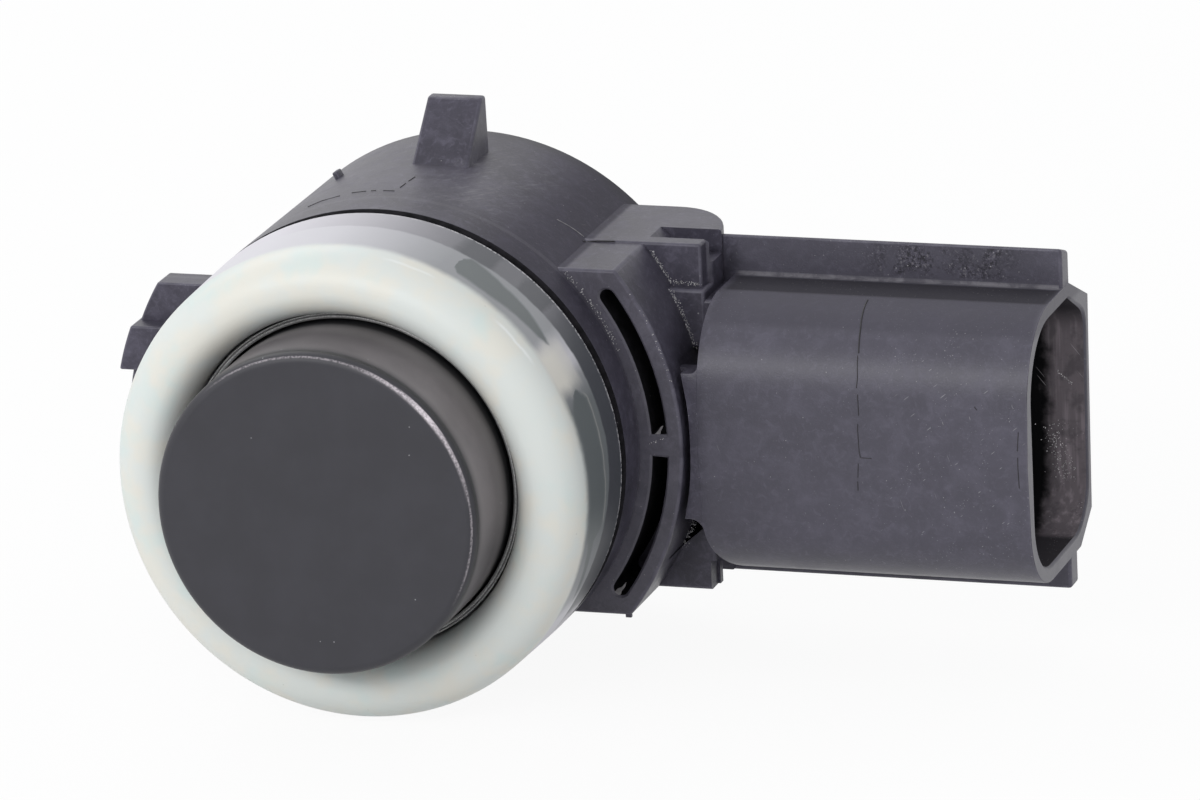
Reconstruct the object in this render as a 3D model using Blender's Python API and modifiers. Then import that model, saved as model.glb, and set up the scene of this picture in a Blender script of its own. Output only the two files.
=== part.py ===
# Ultrasonic parking sensor with a side socket.
# The sensing face lies in the plane Y = 0 and looks along -Y, the socket opens along +X.
import math

import bmesh
import bpy

MM = 0.001

# Clearances
SEAT_GAP = 0.3 * MM
SLIDE_GAP = 0.12 * MM
OVERCUT = 1.0 * MM
SINK = 0.6 * MM
WELD_REACH = 0.003 * MM

# Facets
ROUND_STEPS = 72
RING_ARC_STEPS = 5
MIDDLE_STEPS = 48
SMALL_STEPS = 32
WIRE_STEPS = 16

# Membrane cup and what it holds
CUP_RADIUS = 7.8 * MM
CUP_DEPTH = 9.0 * MM
CUP_FLOOR = 0.9 * MM
CUP_WALL = 1.1 * MM
CUP_EDGE_RADIUS = 0.45 * MM
CUP_EDGE_STEPS = 4
PIEZO_RADIUS = 4.4 * MM
PIEZO_THICKNESS = 0.5 * MM
PAD_THICKNESS = 1.4 * MM
LEAD_INSET = 2.0 * MM
LEAD_RADIUS = 0.15 * MM
PIN_RADIUS = 0.35 * MM
PIN_STANDOUT = 1.3 * MM

# Collar sleeve round the cup
SLEEVE_LIP = 0.28 * MM
SLEEVE_WALL = 0.78 * MM
SLEEVE_SINK = 0.15 * MM

# Decoupling ring
RING_BAND = 3.82 * MM
RING_TAPER = 0.14 * MM
RING_FRONT_ROUNDING = 1.88 * MM
RING_CREST_DEPTH = 3.45 * MM
RING_INNER_FALL = 1.65 * MM
RING_BORE_LAND = 1.2 * MM
RING_SKIRT_WALL = 0.55 * MM
RING_INNER_SKIRT_WALL = 0.35 * MM

# Housing body
BODY_FRONT_STEP = 0.2 * MM
BODY_WALL = 1.4 * MM
BODY_EDGE = 0.18 * MM
CROWN_LENGTH = 3.3 * MM
CROWN_NOTCHES = 12
CROWN_NOTCH_WIDTH = 2.4 * MM
CROWN_NOTCH_DEPTH = 1.7 * MM
CARRIER_SPACE = 1.7 * MM
SHOULDER_THICKNESS = 1.5 * MM
SHOULDER_LIP = 1.25 * MM
LEDGE_WIDTH = 0.8 * MM
LEDGE_HEIGHT = 2.0 * MM
PARTS_HEADROOM = 1.4 * MM
COVER_RECESS = 1.4 * MM
COVER_RECESS_WALL = 0.8 * MM

# Lugs on the body
TOP_LUG_CENTRE = 0.35 * MM
TOP_LUG_WIDTH = 2.85 * MM
TOP_LUG_TIP_WIDTH = 2.75 * MM
TOP_LUG_SETBACK = 6.2 * MM
TOP_LUG_RAMP = 2.6 * MM
TOP_LUG_LAND = 0.6 * MM
TOP_LUG_HEIGHT = 2.62 * MM
SIDE_LUG_REACH = 2.13 * MM
SIDE_LUG_DEPTH = 3.0 * MM
SIDE_LUG_UPPER_LENGTH = 1.7 * MM
SIDE_LUG_LOWER_LENGTH = 2.75 * MM
SIDE_LUG_TOP = 7.2 * MM
SIDE_LUG_UPPER_HEIGHT = 1.9 * MM
SIDE_LUG_LOWER_HEIGHT = 2.2 * MM
SIDE_RIM_REACH = 1.73 * MM
SIDE_RIM_LENGTH = 2.3 * MM
SIDE_RIM_HEIGHT = 8.6 * MM
BODY_NUB_ANGLE = 117.0
BODY_NUB_SETBACK = 4.8 * MM
BODY_NUB_SIZE = 0.6 * MM
BODY_NUB_HEIGHT = 0.35 * MM

# Slotted bracket beside the socket
BRACKET_SETBACK = 2.43 * MM
BRACKET_HALF_HEIGHT = 8.5 * MM
SLOT_INNER_WALL = 0.58 * MM
SLOT_WIDTH = 0.75 * MM
SLOT_OUTER_WALL = 0.77 * MM
SLOT_RIB = 1.1 * MM
SLOT_END_WALL = 0.8 * MM
BRACKET_STEPS = 28
SLOT_STEPS = 12
BRACKET_NUB = 0.15 * MM
BRACKET_NUB_PLACE = 3.1 * MM

# Neck between the body and the socket
GUSSET_SETBACK = 3.52 * MM
GUSSET_STEP = 0.55 * MM
NECK_REACH = 2.23 * MM
NECK_TOP = 8.6 * MM
NECK_BOTTOM = -8.35 * MM
NECK_REAR_SHY = 0.82 * MM
NECK_CORNER_LENGTH = 3.2 * MM
NECK_CORNER_DEPTH = 4.2 * MM
NECK_CORNER_STEPS = 6
BLOCK_SETBACK = 0.27 * MM
BLOCK_THICKNESS = 0.9 * MM
POCKET_LENGTH = 3.05 * MM
POCKET_RAMP = 1.3 * MM
POCKET_WIDTH = 1.7 * MM
POCKET_DEPTH = 1.1 * MM
WEB_TOP = 3.46 * MM
WEB_BOTTOM = -3.7 * MM
WEB_TOP_ROUND = 0.4 * MM
WEB_BOTTOM_ROUND = 0.6 * MM
WEB_SETBACK = 1.07 * MM
WEB_GROOVE = 0.3 * MM
WEB_SHY = 0.02 * MM
WEB_STEPS = 8
WEB_ROUND_STEPS = 4
THROAT_SHY = 0.05 * MM
THROAT_INSET = 0.15 * MM
HOLE_BITE = 0.05 * MM
HOLE_RISE = 0.3 * MM
HOLE_INNER_HEIGHT = 2.2 * MM
HOLE_END_WALL = 0.1 * MM
HOLE_DEPTH = 2.6 * MM
LOWER_GUSSET_FOOT = 6.25 * MM
LOWER_GUSSET_TOP = 4.45 * MM
LOWER_BLOCK_DEPTH = 1.05 * MM
LOWER_END_LIP = 0.35 * MM

# Socket
SOCKET_SETOFF = 0.53 * MM
SOCKET_LENGTH = 16.05 * MM
SOCKET_SETBACK = 0.4 * MM
SOCKET_DEPTH = 11.09 * MM
SOCKET_TOP = 6.45 * MM
SOCKET_BOTTOM = -6.85 * MM
SOCKET_TOP_ROUND = 4.1 * MM
SOCKET_BOTTOM_ROUND = 3.6 * MM
SOCKET_TOP_SLOPE = 3.3 * MM
SOCKET_BOTTOM_SLOPE = 2.5 * MM
SOCKET_TOP_FALL = 1.51 * MM
SOCKET_BOTTOM_FALL = 1.32 * MM
SOCKET_REAR_LEAN = 0.4 * MM
SOCKET_BULGE = 0.22 * MM
SOCKET_WALL = 0.75 * MM
SOCKET_REAR_WALL = 0.5 * MM
SOCKET_START_ROUND = 1.72 * MM
SOCKET_START_FALL = 3.15 * MM
SOCKET_FLOOR_THICKNESS = 2.22 * MM
ROUND_CORNER_STEPS = 10
SMALL_ARC_STEPS = 6
RAIL_DEPTH = 6.77 * MM
RAIL_THICKNESS = 1.25 * MM
RAIL_UPPER_HEIGHT = 1.93 * MM
RAIL_LOWER_HEIGHT = 1.53 * MM
RAIL_TOP_FALL = 0.42 * MM
RAIL_END_SHY = 0.02 * MM

# Terminals
TERMINAL_PITCH = 3.3 * MM
TERMINAL_WIDTH = 1.2 * MM
TERMINAL_THICKNESS = 0.6 * MM
TERMINAL_LEG_INSET = 2.22 * MM
TERMINAL_REACH = 8.0 * MM
TERMINAL_TIP_CHAMFER = 0.2 * MM
TERMINAL_TAIL = 1.1 * MM

# Contact carrier
CARRIER_SPIGOT_REACH = 0.4 * MM
CUSHION_WALL = 0.9 * MM

# Board and what it carries
BOARD_THICKNESS = 1.2 * MM
CHIP_SIZE = 5.0 * MM
CHIP_HEIGHT = 1.0 * MM
CHIP_MARGIN = 2.4 * MM
CORE_RADIUS = 3.4 * MM
CORE_WALL = 0.6 * MM
CORE_HEIGHT = 4.6 * MM
CORE_POST_RADIUS = 0.8 * MM
CORE_MARGIN = 1.3 * MM
BOBBIN_WALL = 0.4 * MM
FILTER_CAP_RADIUS = 2.0 * MM
FILTER_CAP_HEIGHT = 5.2 * MM
FILTER_CAP_MARGIN = 1.6 * MM
FILTER_CAP_GROOVE = 0.25 * MM
FILTER_CAP_GROOVE_PLACE = 1.0 * MM
CHIP_PART_SIZE = (1.6 * MM, 0.8 * MM, 0.8 * MM)
CHIP_PART_SPACE = 1.0 * MM
CRYSTAL_SIZE = (2.5 * MM, 0.9 * MM, 3.2 * MM)
SMALL_EDGE = 0.08 * MM

# Cover
COVER_EDGE = 0.2 * MM
COVER_SPIGOT_DEPTH = 0.8 * MM
COVER_SPIGOT_WALL = 1.2 * MM

# Places that follow from the sizes above, round the axis
SLEEVE_RADIUS = CUP_RADIUS + SLIDE_GAP + SLEEVE_WALL
INNER_SKIRT_RADIUS = SLEEVE_RADIUS + SEAT_GAP
INNER_SKIRT_OUTER = INNER_SKIRT_RADIUS + RING_INNER_SKIRT_WALL
BODY_RADIUS = CUP_RADIUS + RING_BAND
CREST_RADIUS = BODY_RADIUS - RING_TAPER - RING_FRONT_ROUNDING
CROWN_BORE = INNER_SKIRT_OUTER + SEAT_GAP
CROWN_RADIUS = BODY_RADIUS - RING_SKIRT_WALL - SEAT_GAP
CAVITY_RADIUS = BODY_RADIUS - BODY_WALL
CUSHION_RADIUS = CUP_RADIUS - SEAT_GAP / 2.0
FLANGE_RADIUS = CUSHION_RADIUS - CUSHION_WALL - SEAT_GAP
SHOULDER_BORE = FLANGE_RADIUS - SHOULDER_LIP
LEAD_REACH = SHOULDER_BORE - LEAD_INSET
SIDE_LUG_RADIUS = BODY_RADIUS + SIDE_LUG_REACH
SIDE_RIM_RADIUS = BODY_RADIUS + SIDE_RIM_REACH
SLOT_INNER_RADIUS = BODY_RADIUS + SLOT_INNER_WALL
SLOT_OUTER_RADIUS = SLOT_INNER_RADIUS + SLOT_WIDTH
BRACKET_RADIUS = SLOT_OUTER_RADIUS + SLOT_OUTER_WALL
SLOT_END_ANGLE = math.degrees(math.asin((BRACKET_HALF_HEIGHT - SLOT_END_WALL) / SLOT_OUTER_RADIUS))

# Places that follow, along the axis
RING_FALL_END = RING_CREST_DEPTH + RING_INNER_FALL
SLEEVE_FRONT = RING_FALL_END + SLEEVE_SINK
SHOULDER_FRONT = CUP_DEPTH + CARRIER_SPACE
BODY_FRONT = SHOULDER_FRONT - BODY_FRONT_STEP
CROWN_FRONT = BODY_FRONT - CROWN_LENGTH
SHOULDER_REAR = SHOULDER_FRONT + SHOULDER_THICKNESS
LEDGE_REAR = SHOULDER_REAR + LEDGE_HEIGHT
BOARD_FRONT = LEDGE_REAR + SEAT_GAP
BOARD_REAR = BOARD_FRONT + BOARD_THICKNESS
PARTS_SEAT = BOARD_REAR + SEAT_GAP
PIEZO_FRONT = CUP_FLOOR + SEAT_GAP
PIEZO_REAR = PIEZO_FRONT + PIEZO_THICKNESS
PAD_FRONT = PIEZO_REAR + SEAT_GAP
PAD_REAR = PAD_FRONT + PAD_THICKNESS
PLUG_FRONT = PAD_REAR + SEAT_GAP
PLUG_REAR = CUP_DEPTH - 2.0 * SEAT_GAP
CARRIER_FRONT = CUP_DEPTH + SEAT_GAP
CARRIER_FLANGE_REAR = SHOULDER_FRONT - SEAT_GAP
PIN_FRONT = CARRIER_FRONT - SEAT_GAP
LEAD_REAR = PIN_FRONT - SEAT_GAP
RECESS_FRONT = PARTS_SEAT + FILTER_CAP_HEIGHT + PARTS_HEADROOM + COVER_SPIGOT_DEPTH
BODY_REAR = RECESS_FRONT + COVER_RECESS
BRACKET_FRONT = BODY_FRONT + BRACKET_SETBACK
SOCKET_FRONT = BRACKET_FRONT + SOCKET_SETBACK
SOCKET_REAR = SOCKET_FRONT + SOCKET_DEPTH
GUSSET_FRONT = SOCKET_FRONT + GUSSET_SETBACK
NECK_FRONT = GUSSET_FRONT + GUSSET_STEP
NECK_REAR = SOCKET_REAR - NECK_REAR_SHY
WEB_FRONT = SOCKET_FRONT + WEB_SETBACK
RAIL_FRONT = SOCKET_FRONT + RAIL_DEPTH
TOP_LUG_FRONT = BODY_REAR - TOP_LUG_SETBACK
SIDE_LUG_REAR = BODY_FRONT + SIDE_LUG_DEPTH
BODY_NUB_DEPTH = BODY_REAR - BODY_NUB_SETBACK
BLOCK_REAR = NECK_FRONT + BLOCK_THICKNESS
POCKET_REAR = BLOCK_REAR + POCKET_WIDTH
TERMINAL_DEPTH = (SOCKET_FRONT + SOCKET_REAR) / 2.0

# Places that follow, across the sensor
NECK_LENGTH = BODY_RADIUS + NECK_REACH
BLOCK_END = NECK_LENGTH - BLOCK_SETBACK
POCKET_START = NECK_LENGTH - POCKET_LENGTH
SOCKET_START = NECK_LENGTH + SOCKET_SETOFF
SOCKET_MOUTH = SOCKET_START + SOCKET_LENGTH
SOCKET_FLOOR = SOCKET_START + SOCKET_FLOOR_THICKNESS
TERMINAL_LEG = CAVITY_RADIUS - TERMINAL_LEG_INSET
TERMINAL_TIP = SOCKET_FLOOR + TERMINAL_REACH
SOCKET_MIDDLE = (SOCKET_TOP + SOCKET_BOTTOM) / 2.0
GUSSET_TOP = SOCKET_TOP + SEAT_GAP / 4.0
SIDE_LUG_STEP = SIDE_LUG_TOP - SIDE_LUG_UPPER_HEIGHT
SIDE_LUG_BOTTOM = SIDE_LUG_STEP - SIDE_LUG_LOWER_HEIGHT
SIDE_RIM_BOTTOM = SIDE_LUG_BOTTOM - SIDE_RIM_HEIGHT
BOARD_RADIUS = CAVITY_RADIUS - SEAT_GAP
CHIP_PLACE = (0.0, BOARD_RADIUS - CHIP_MARGIN - CHIP_SIZE / 2.0)
CORE_PLACE = (0.0, CORE_RADIUS + CORE_MARGIN - BOARD_RADIUS)
FILTER_CAP_PLACE = (FILTER_CAP_RADIUS + FILTER_CAP_MARGIN - BOARD_RADIUS, 0.0)
CHIP_PART_REACH = CHIP_SIZE / 2.0 + CHIP_PART_SPACE + CHIP_PART_SIZE[0] / 2.0
RESISTOR_REACH = CORE_RADIUS + CHIP_PART_SPACE + CHIP_PART_SIZE[0] / 2.0
CRYSTAL_REACH = CORE_RADIUS + CHIP_PART_SPACE + CRYSTAL_SIZE[0] / 2.0

AROUND_DEPTH = (math.radians(-90.0), 0.0, 0.0)
ACROSS_DEPTH = (math.radians(90.0), 0.0, 0.0)
ALONG_SOCKET = (math.radians(90.0), 0.0, math.radians(90.0))


def clear_scene():
    for item in list(bpy.data.objects):
        bpy.data.objects.remove(item, do_unlink=True)


def new_collection(name):
    collection = bpy.data.collections.new(name)
    bpy.context.scene.collection.children.link(collection)
    return collection


clear_scene()
PARTS = new_collection("parking_sensor")
CUTTERS = new_collection("cutters")


def material(name, colour, roughness, metallic=0.0):
    made = bpy.data.materials.get(name)
    if made is None:
        made = bpy.data.materials.new(name)
        made.use_nodes = True
        shader = made.node_tree.nodes["Principled BSDF"]
        shader.inputs["Base Color"].default_value = (*colour, 1.0)
        shader.inputs["Roughness"].default_value = roughness
        shader.inputs["Metallic"].default_value = metallic
    return made


def housing_plastic():
    return material("housing_plastic", (0.068, 0.065, 0.078), 0.5)


def link(item, surface):
    """Put a named piece into the part's collection with its material."""
    PARTS.objects.link(item)
    item.data.materials.append(surface)
    return item


def link_tool(item):
    """Put a shape that only cuts or joins into the cutters' collection."""
    CUTTERS.objects.link(item)
    item.hide_render = True
    item.display_type = "WIRE"
    return item


def signed_area(points):
    total = 0.0
    for (x0, y0), (x1, y1) in zip(points, points[1:] + points[:1]):
        total += x0 * y1 - x1 * y0
    return total / 2.0


def turned(name, profile, place=(0.0, 0.0), steps=ROUND_STEPS):
    """Turn a profile of (radius, depth) points about an axis along Y."""
    points = list(profile)
    if signed_area(points) > 0.0:
        points.reverse()
    solid_core = any(radius == 0.0 for radius, depth in points)
    if solid_core:
        on_axis = [index for index, point in enumerate(points) if point[0] == 0.0]
        first = on_axis[-1] if on_axis[0] == 0 else on_axis[0]
        points = points[first:] + points[:first]
        if points[1][0] == 0.0:
            points = points[1:] + points[:1]
    mesh = bpy.data.meshes.new(name)
    edges = [(index, index + 1) for index in range(len(points) - 1)]
    if not solid_core:
        edges.append((len(points) - 1, 0))
    mesh.from_pydata([(radius, 0.0, depth) for radius, depth in points], edges, [])
    item = bpy.data.objects.new(name, mesh)
    item.rotation_euler = AROUND_DEPTH
    item.location = (place[0], 0.0, place[1])
    spin = item.modifiers.new("turn", "SCREW")
    spin.axis = "Z"
    spin.steps = steps
    spin.render_steps = steps
    spin.use_merge_vertices = True
    spin.merge_threshold = 0.000001
    spin.use_smooth_shade = True
    return item


def outline_curve(name, outlines, half_thickness):
    curve = bpy.data.curves.new(name, "CURVE")
    curve.dimensions = "2D"
    curve.fill_mode = "BOTH"
    curve.extrude = half_thickness
    for outline in outlines:
        spline = curve.splines.new("POLY")
        spline.points.add(len(outline) - 1)
        for point, (x, y) in zip(spline.points, outline):
            point.co = (x, y, 0.0, 1.0)
        spline.use_cyclic_u = True
    return bpy.data.objects.new(name, curve)


def plate(name, outlines, start, end, turn, axis):
    """Make a closed plate from flat outlines, from start to end along one world axis."""
    flat = outline_curve(name + "_outline", outlines, (end - start) / 2.0)
    flat.rotation_euler = turn
    middle = (start + end) / 2.0
    flat.location = [middle if letter == axis else 0.0 for letter in "XYZ"]
    CUTTERS.objects.link(flat)
    bpy.context.view_layer.update()
    shaped = flat.evaluated_get(bpy.context.evaluated_depsgraph_get())
    mesh = bpy.data.meshes.new_from_object(shaped)
    work = bmesh.new()
    work.from_mesh(mesh)
    bmesh.ops.remove_doubles(work, verts=work.verts, dist=0.000001)
    work.to_mesh(mesh)
    work.free()
    item = bpy.data.objects.new(name, mesh)
    item.matrix_world = flat.matrix_world
    bpy.data.objects.remove(flat, do_unlink=True)
    return item


def block(name, low, high):
    """Make a box between two opposite corners."""
    mesh = bpy.data.meshes.new(name)
    work = bmesh.new()
    bmesh.ops.create_cube(work, size=1.0)
    size = [far - near for near, far in zip(low, high)]
    bmesh.ops.scale(work, vec=size, verts=work.verts)
    work.to_mesh(mesh)
    work.free()
    item = bpy.data.objects.new(name, mesh)
    item.location = [(near + far) / 2.0 for near, far in zip(low, high)]
    return item


def join_to(item, tool):
    link_tool(tool)
    union = item.modifiers.new("join_" + tool.name, "BOOLEAN")
    union.operation = "UNION"
    union.object = tool


def cut_from(item, tool):
    link_tool(tool)
    cut = item.modifiers.new("cut_" + tool.name, "BOOLEAN")
    cut.operation = "DIFFERENCE"
    cut.object = tool


def merge_near_points(item):
    """Close the hairline slits that chained cuts can leave between near points."""
    weld = item.modifiers.new("weld", "WELD")
    weld.merge_threshold = WELD_REACH


def round_edges(item, width, segments=2):
    bevel = item.modifiers.new("edges", "BEVEL")
    bevel.width = width
    bevel.segments = segments
    bevel.limit_method = "ANGLE"


def arc(radius, start, end, steps, centre=(0.0, 0.0), other_radius=None):
    """Points on a round or elliptical arc, angles in degrees."""
    height = radius if other_radius is None else other_radius
    points = []
    for index in range(steps + 1):
        angle = math.radians(start + (end - start) * index / steps)
        points.append((centre[0] + radius * math.cos(angle), centre[1] + height * math.sin(angle)))
    return points


# Pieces of the transducer
def make_membrane_cup():
    inner = CUP_RADIUS - CUP_WALL
    profile = [(0.0, CUP_FLOOR), (inner, CUP_FLOOR), (inner, CUP_DEPTH), (CUP_RADIUS, CUP_DEPTH)]
    edge_centre = (CUP_RADIUS - CUP_EDGE_RADIUS, CUP_EDGE_RADIUS)
    profile += arc(CUP_EDGE_RADIUS, 0.0, -90.0, CUP_EDGE_STEPS, edge_centre)
    profile.append((0.0, 0.0))
    link(turned("membrane_cup", profile), material("cup_paint", (0.062, 0.06, 0.068), 0.42))


def disc_profile(radius, front, rear):
    return [(0.0, rear), (radius, rear), (radius, front), (0.0, front)]


def ring_profile(inner, outer, front, rear):
    return [(inner, rear), (outer, rear), (outer, front), (inner, front)]


def make_piezo_disc():
    ceramic = material("piezo_ceramic", (0.62, 0.6, 0.5), 0.45)
    profile = disc_profile(PIEZO_RADIUS, PIEZO_FRONT, PIEZO_REAR)
    link(turned("piezo_disc", profile, steps=MIDDLE_STEPS), ceramic)


def cut_lead_holes(item, front, rear, radius):
    for side in (-1.0, 1.0):
        hole = disc_profile(radius, front - OVERCUT, rear + OVERCUT)
        name = item.name + ("_hole_a" if side < 0.0 else "_hole_b")
        cut_from(item, turned(name, hole, (side * LEAD_REACH, 0.0), WIRE_STEPS))


def make_cup_filling():
    radius = CUP_RADIUS - CUP_WALL - SEAT_GAP
    hole = LEAD_RADIUS + SEAT_GAP
    pad = turned("absorber_pad", disc_profile(radius, PAD_FRONT, PAD_REAR), steps=MIDDLE_STEPS)
    link(pad, material("felt", (0.35, 0.33, 0.3), 0.95))
    cut_lead_holes(pad, PAD_FRONT, PAD_REAR, hole)
    plug = turned("damping_plug", disc_profile(radius, PLUG_FRONT, PLUG_REAR), steps=MIDDLE_STEPS)
    link(plug, material("damping_silicone", (0.72, 0.72, 0.7), 0.6))
    cut_lead_holes(plug, PLUG_FRONT, PLUG_REAR, hole)


def make_leads_and_pins():
    copper = material("lead_copper", (0.72, 0.4, 0.25), 0.35, 1.0)
    tin = material("tinned_contact", (0.75, 0.74, 0.7), 0.3, 1.0)
    pin_rear = BOARD_REAR + PIN_STANDOUT
    for letter, side in (("a", -1.0), ("b", 1.0)):
        place = (side * LEAD_REACH, 0.0)
        lead = disc_profile(LEAD_RADIUS, PIEZO_REAR + SEAT_GAP, LEAD_REAR)
        link(turned("piezo_lead_" + letter, lead, place, WIRE_STEPS), copper)
        pin = disc_profile(PIN_RADIUS, PIN_FRONT, pin_rear)
        link(turned("contact_pin_" + letter, pin, place, WIRE_STEPS), tin)


def make_cup_cushion():
    inner = CUSHION_RADIUS - CUSHION_WALL
    profile = ring_profile(inner, CUSHION_RADIUS, CARRIER_FRONT, CARRIER_FLANGE_REAR)
    foam = material("cushion_silicone", (0.25, 0.25, 0.26), 0.8)
    link(turned("cup_cushion", profile, steps=MIDDLE_STEPS), foam)


def make_contact_carrier():
    spigot = SHOULDER_BORE - SEAT_GAP
    spigot_rear = SHOULDER_REAR + CARRIER_SPIGOT_REACH
    profile = [
        (0.0, spigot_rear),
        (spigot, spigot_rear),
        (spigot, CARRIER_FLANGE_REAR),
        (FLANGE_RADIUS, CARRIER_FLANGE_REAR),
        (FLANGE_RADIUS, CARRIER_FRONT),
        (0.0, CARRIER_FRONT),
    ]
    carrier = turned("contact_carrier", profile, steps=MIDDLE_STEPS)
    link(carrier, material("carrier_plastic", (0.7, 0.68, 0.6), 0.5))
    cut_lead_holes(carrier, CARRIER_FRONT, spigot_rear, PIN_RADIUS + SEAT_GAP)


# Sleeve and ring round the cup
def make_collar_sleeve():
    inner = CUP_RADIUS + SLIDE_GAP
    lip = inner + SLEEVE_LIP
    step = RING_FALL_END + RING_BORE_LAND + SEAT_GAP
    rear = SHOULDER_FRONT - SEAT_GAP
    profile = [(inner, rear), (SLEEVE_RADIUS, rear), (SLEEVE_RADIUS, step), (lip, step),
               (lip, SLEEVE_FRONT), (inner, SLEEVE_FRONT)]
    link(turned("collar_sleeve", profile), material("sleeve_rubber", (0.045, 0.043, 0.05), 0.55))


def make_decoupling_ring():
    bore = CUP_RADIUS + SLIDE_GAP + SLEEVE_LIP + SLIDE_GAP
    land_end = RING_FALL_END + RING_BORE_LAND
    web_rear = CROWN_FRONT - SEAT_GAP
    skirt_inner = BODY_RADIUS - RING_SKIRT_WALL
    skirt_rear = BODY_FRONT - SEAT_GAP
    crest = (CREST_RADIUS, RING_CREST_DEPTH + RING_FRONT_ROUNDING)
    profile = [(BODY_RADIUS, skirt_rear)]
    profile += arc(RING_FRONT_ROUNDING, 0.0, -90.0, RING_ARC_STEPS, crest)
    fall = (CREST_RADIUS, RING_FALL_END)
    profile += arc(CREST_RADIUS - bore, -90.0, -180.0, RING_ARC_STEPS, fall, RING_INNER_FALL)[1:]
    profile += [
        (bore, land_end),
        (INNER_SKIRT_RADIUS, land_end),
        (INNER_SKIRT_RADIUS, SHOULDER_FRONT - SEAT_GAP),
        (INNER_SKIRT_OUTER, SHOULDER_FRONT - SEAT_GAP),
        (INNER_SKIRT_OUTER, web_rear),
        (skirt_inner, web_rear),
        (skirt_inner, skirt_rear),
    ]
    link(turned("decoupling_ring", profile), material("milky_silicone", (0.72, 0.75, 0.73), 0.35))


# Housing
def body_tool():
    """The round body and the crown in front of it, still solid."""
    profile = [
        (0.0, BODY_REAR),
        (BODY_RADIUS - BODY_EDGE, BODY_REAR),
        (BODY_RADIUS, BODY_REAR - BODY_EDGE),
        (BODY_RADIUS, BODY_FRONT + BODY_EDGE),
        (BODY_RADIUS - BODY_EDGE, BODY_FRONT),
        (CROWN_RADIUS, BODY_FRONT),
        (CROWN_RADIUS, CROWN_FRONT),
        (0.0, CROWN_FRONT),
    ]
    return turned("housing", profile)


def inside_tool():
    """Everything that is hollow about the sensor's axis."""
    profile = [
        (0.0, BODY_REAR + OVERCUT),
        (BODY_RADIUS - COVER_RECESS_WALL, BODY_REAR + OVERCUT),
        (BODY_RADIUS - COVER_RECESS_WALL, RECESS_FRONT),
        (CAVITY_RADIUS, RECESS_FRONT),
        (CAVITY_RADIUS, LEDGE_REAR),
        (CAVITY_RADIUS - LEDGE_WIDTH, LEDGE_REAR),
        (CAVITY_RADIUS - LEDGE_WIDTH, SHOULDER_REAR),
        (SHOULDER_BORE, SHOULDER_REAR),
        (SHOULDER_BORE, SHOULDER_FRONT),
        (CROWN_BORE, SHOULDER_FRONT),
        (CROWN_BORE, CROWN_FRONT - OVERCUT),
        (0.0, CROWN_FRONT - OVERCUT),
    ]
    return turned("inside", profile)


def crown_notches_tool():
    """Blocks set round the crown's front edge, one for each gap between its teeth."""
    mesh = bpy.data.meshes.new("crown_notches")
    work = bmesh.new()
    middle = (CROWN_RADIUS + CROWN_BORE) / 2.0
    reach = CROWN_RADIUS - CROWN_BORE + 2.0 * OVERCUT
    for index in range(CROWN_NOTCHES):
        made = bmesh.ops.create_cube(work, size=1.0)["verts"]
        length = CROWN_NOTCH_DEPTH + OVERCUT
        bmesh.ops.scale(work, vec=(reach, length, CROWN_NOTCH_WIDTH), verts=made)
        centre = CROWN_FRONT - OVERCUT + length / 2.0
        bmesh.ops.translate(work, vec=(middle, centre, 0.0), verts=made)
        angle = math.tau * (index + 0.5) / CROWN_NOTCHES
        turn = ((math.cos(angle), 0.0, math.sin(angle)), (0.0, 1.0, 0.0),
                (-math.sin(angle), 0.0, math.cos(angle)))
        for vert in made:
            x, y, z = vert.co
            vert.co = [turn[0][axis] * x + turn[1][axis] * y + turn[2][axis] * z for axis in range(3)]
    bmesh.ops.recalc_face_normals(work, faces=work.faces)
    work.to_mesh(mesh)
    work.free()
    return bpy.data.objects.new("crown_notches", mesh)


def bracket_tool():
    """The crescent with its two curved slots, flat on top and below."""
    end_angle = math.degrees(math.asin(BRACKET_HALF_HEIGHT / BRACKET_RADIUS))
    inner = BODY_RADIUS - SINK
    root_angle = math.degrees(math.asin(BRACKET_HALF_HEIGHT / inner))
    outline = arc(BRACKET_RADIUS, -end_angle, end_angle, BRACKET_STEPS)
    outline += arc(inner, root_angle, -root_angle, BRACKET_STEPS)
    outlines = [outline]
    middle = (SLOT_INNER_RADIUS + SLOT_OUTER_RADIUS) / 2.0
    end_round = (SLOT_OUTER_RADIUS - SLOT_INNER_RADIUS) / 2.0
    rib_angle = math.degrees(SLOT_RIB / 2.0 / middle)
    round_angle = math.degrees(end_round / middle)
    for side in (1.0, -1.0):
        stop = SLOT_END_ANGLE - round_angle
        slot = arc(SLOT_OUTER_RADIUS, side * rib_angle, side * stop, SLOT_STEPS)
        tip = (middle * math.cos(math.radians(stop)), side * middle * math.sin(math.radians(stop)))
        slot += arc(end_round, side * stop, side * (stop + 180.0), SMALL_ARC_STEPS, tip)[1:-1]
        slot += arc(SLOT_INNER_RADIUS, side * stop, side * rib_angle, SLOT_STEPS)
        outlines.append(slot)
    return plate("bracket", outlines, BRACKET_FRONT, NECK_FRONT + SINK, ACROSS_DEPTH, "Y")


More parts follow.
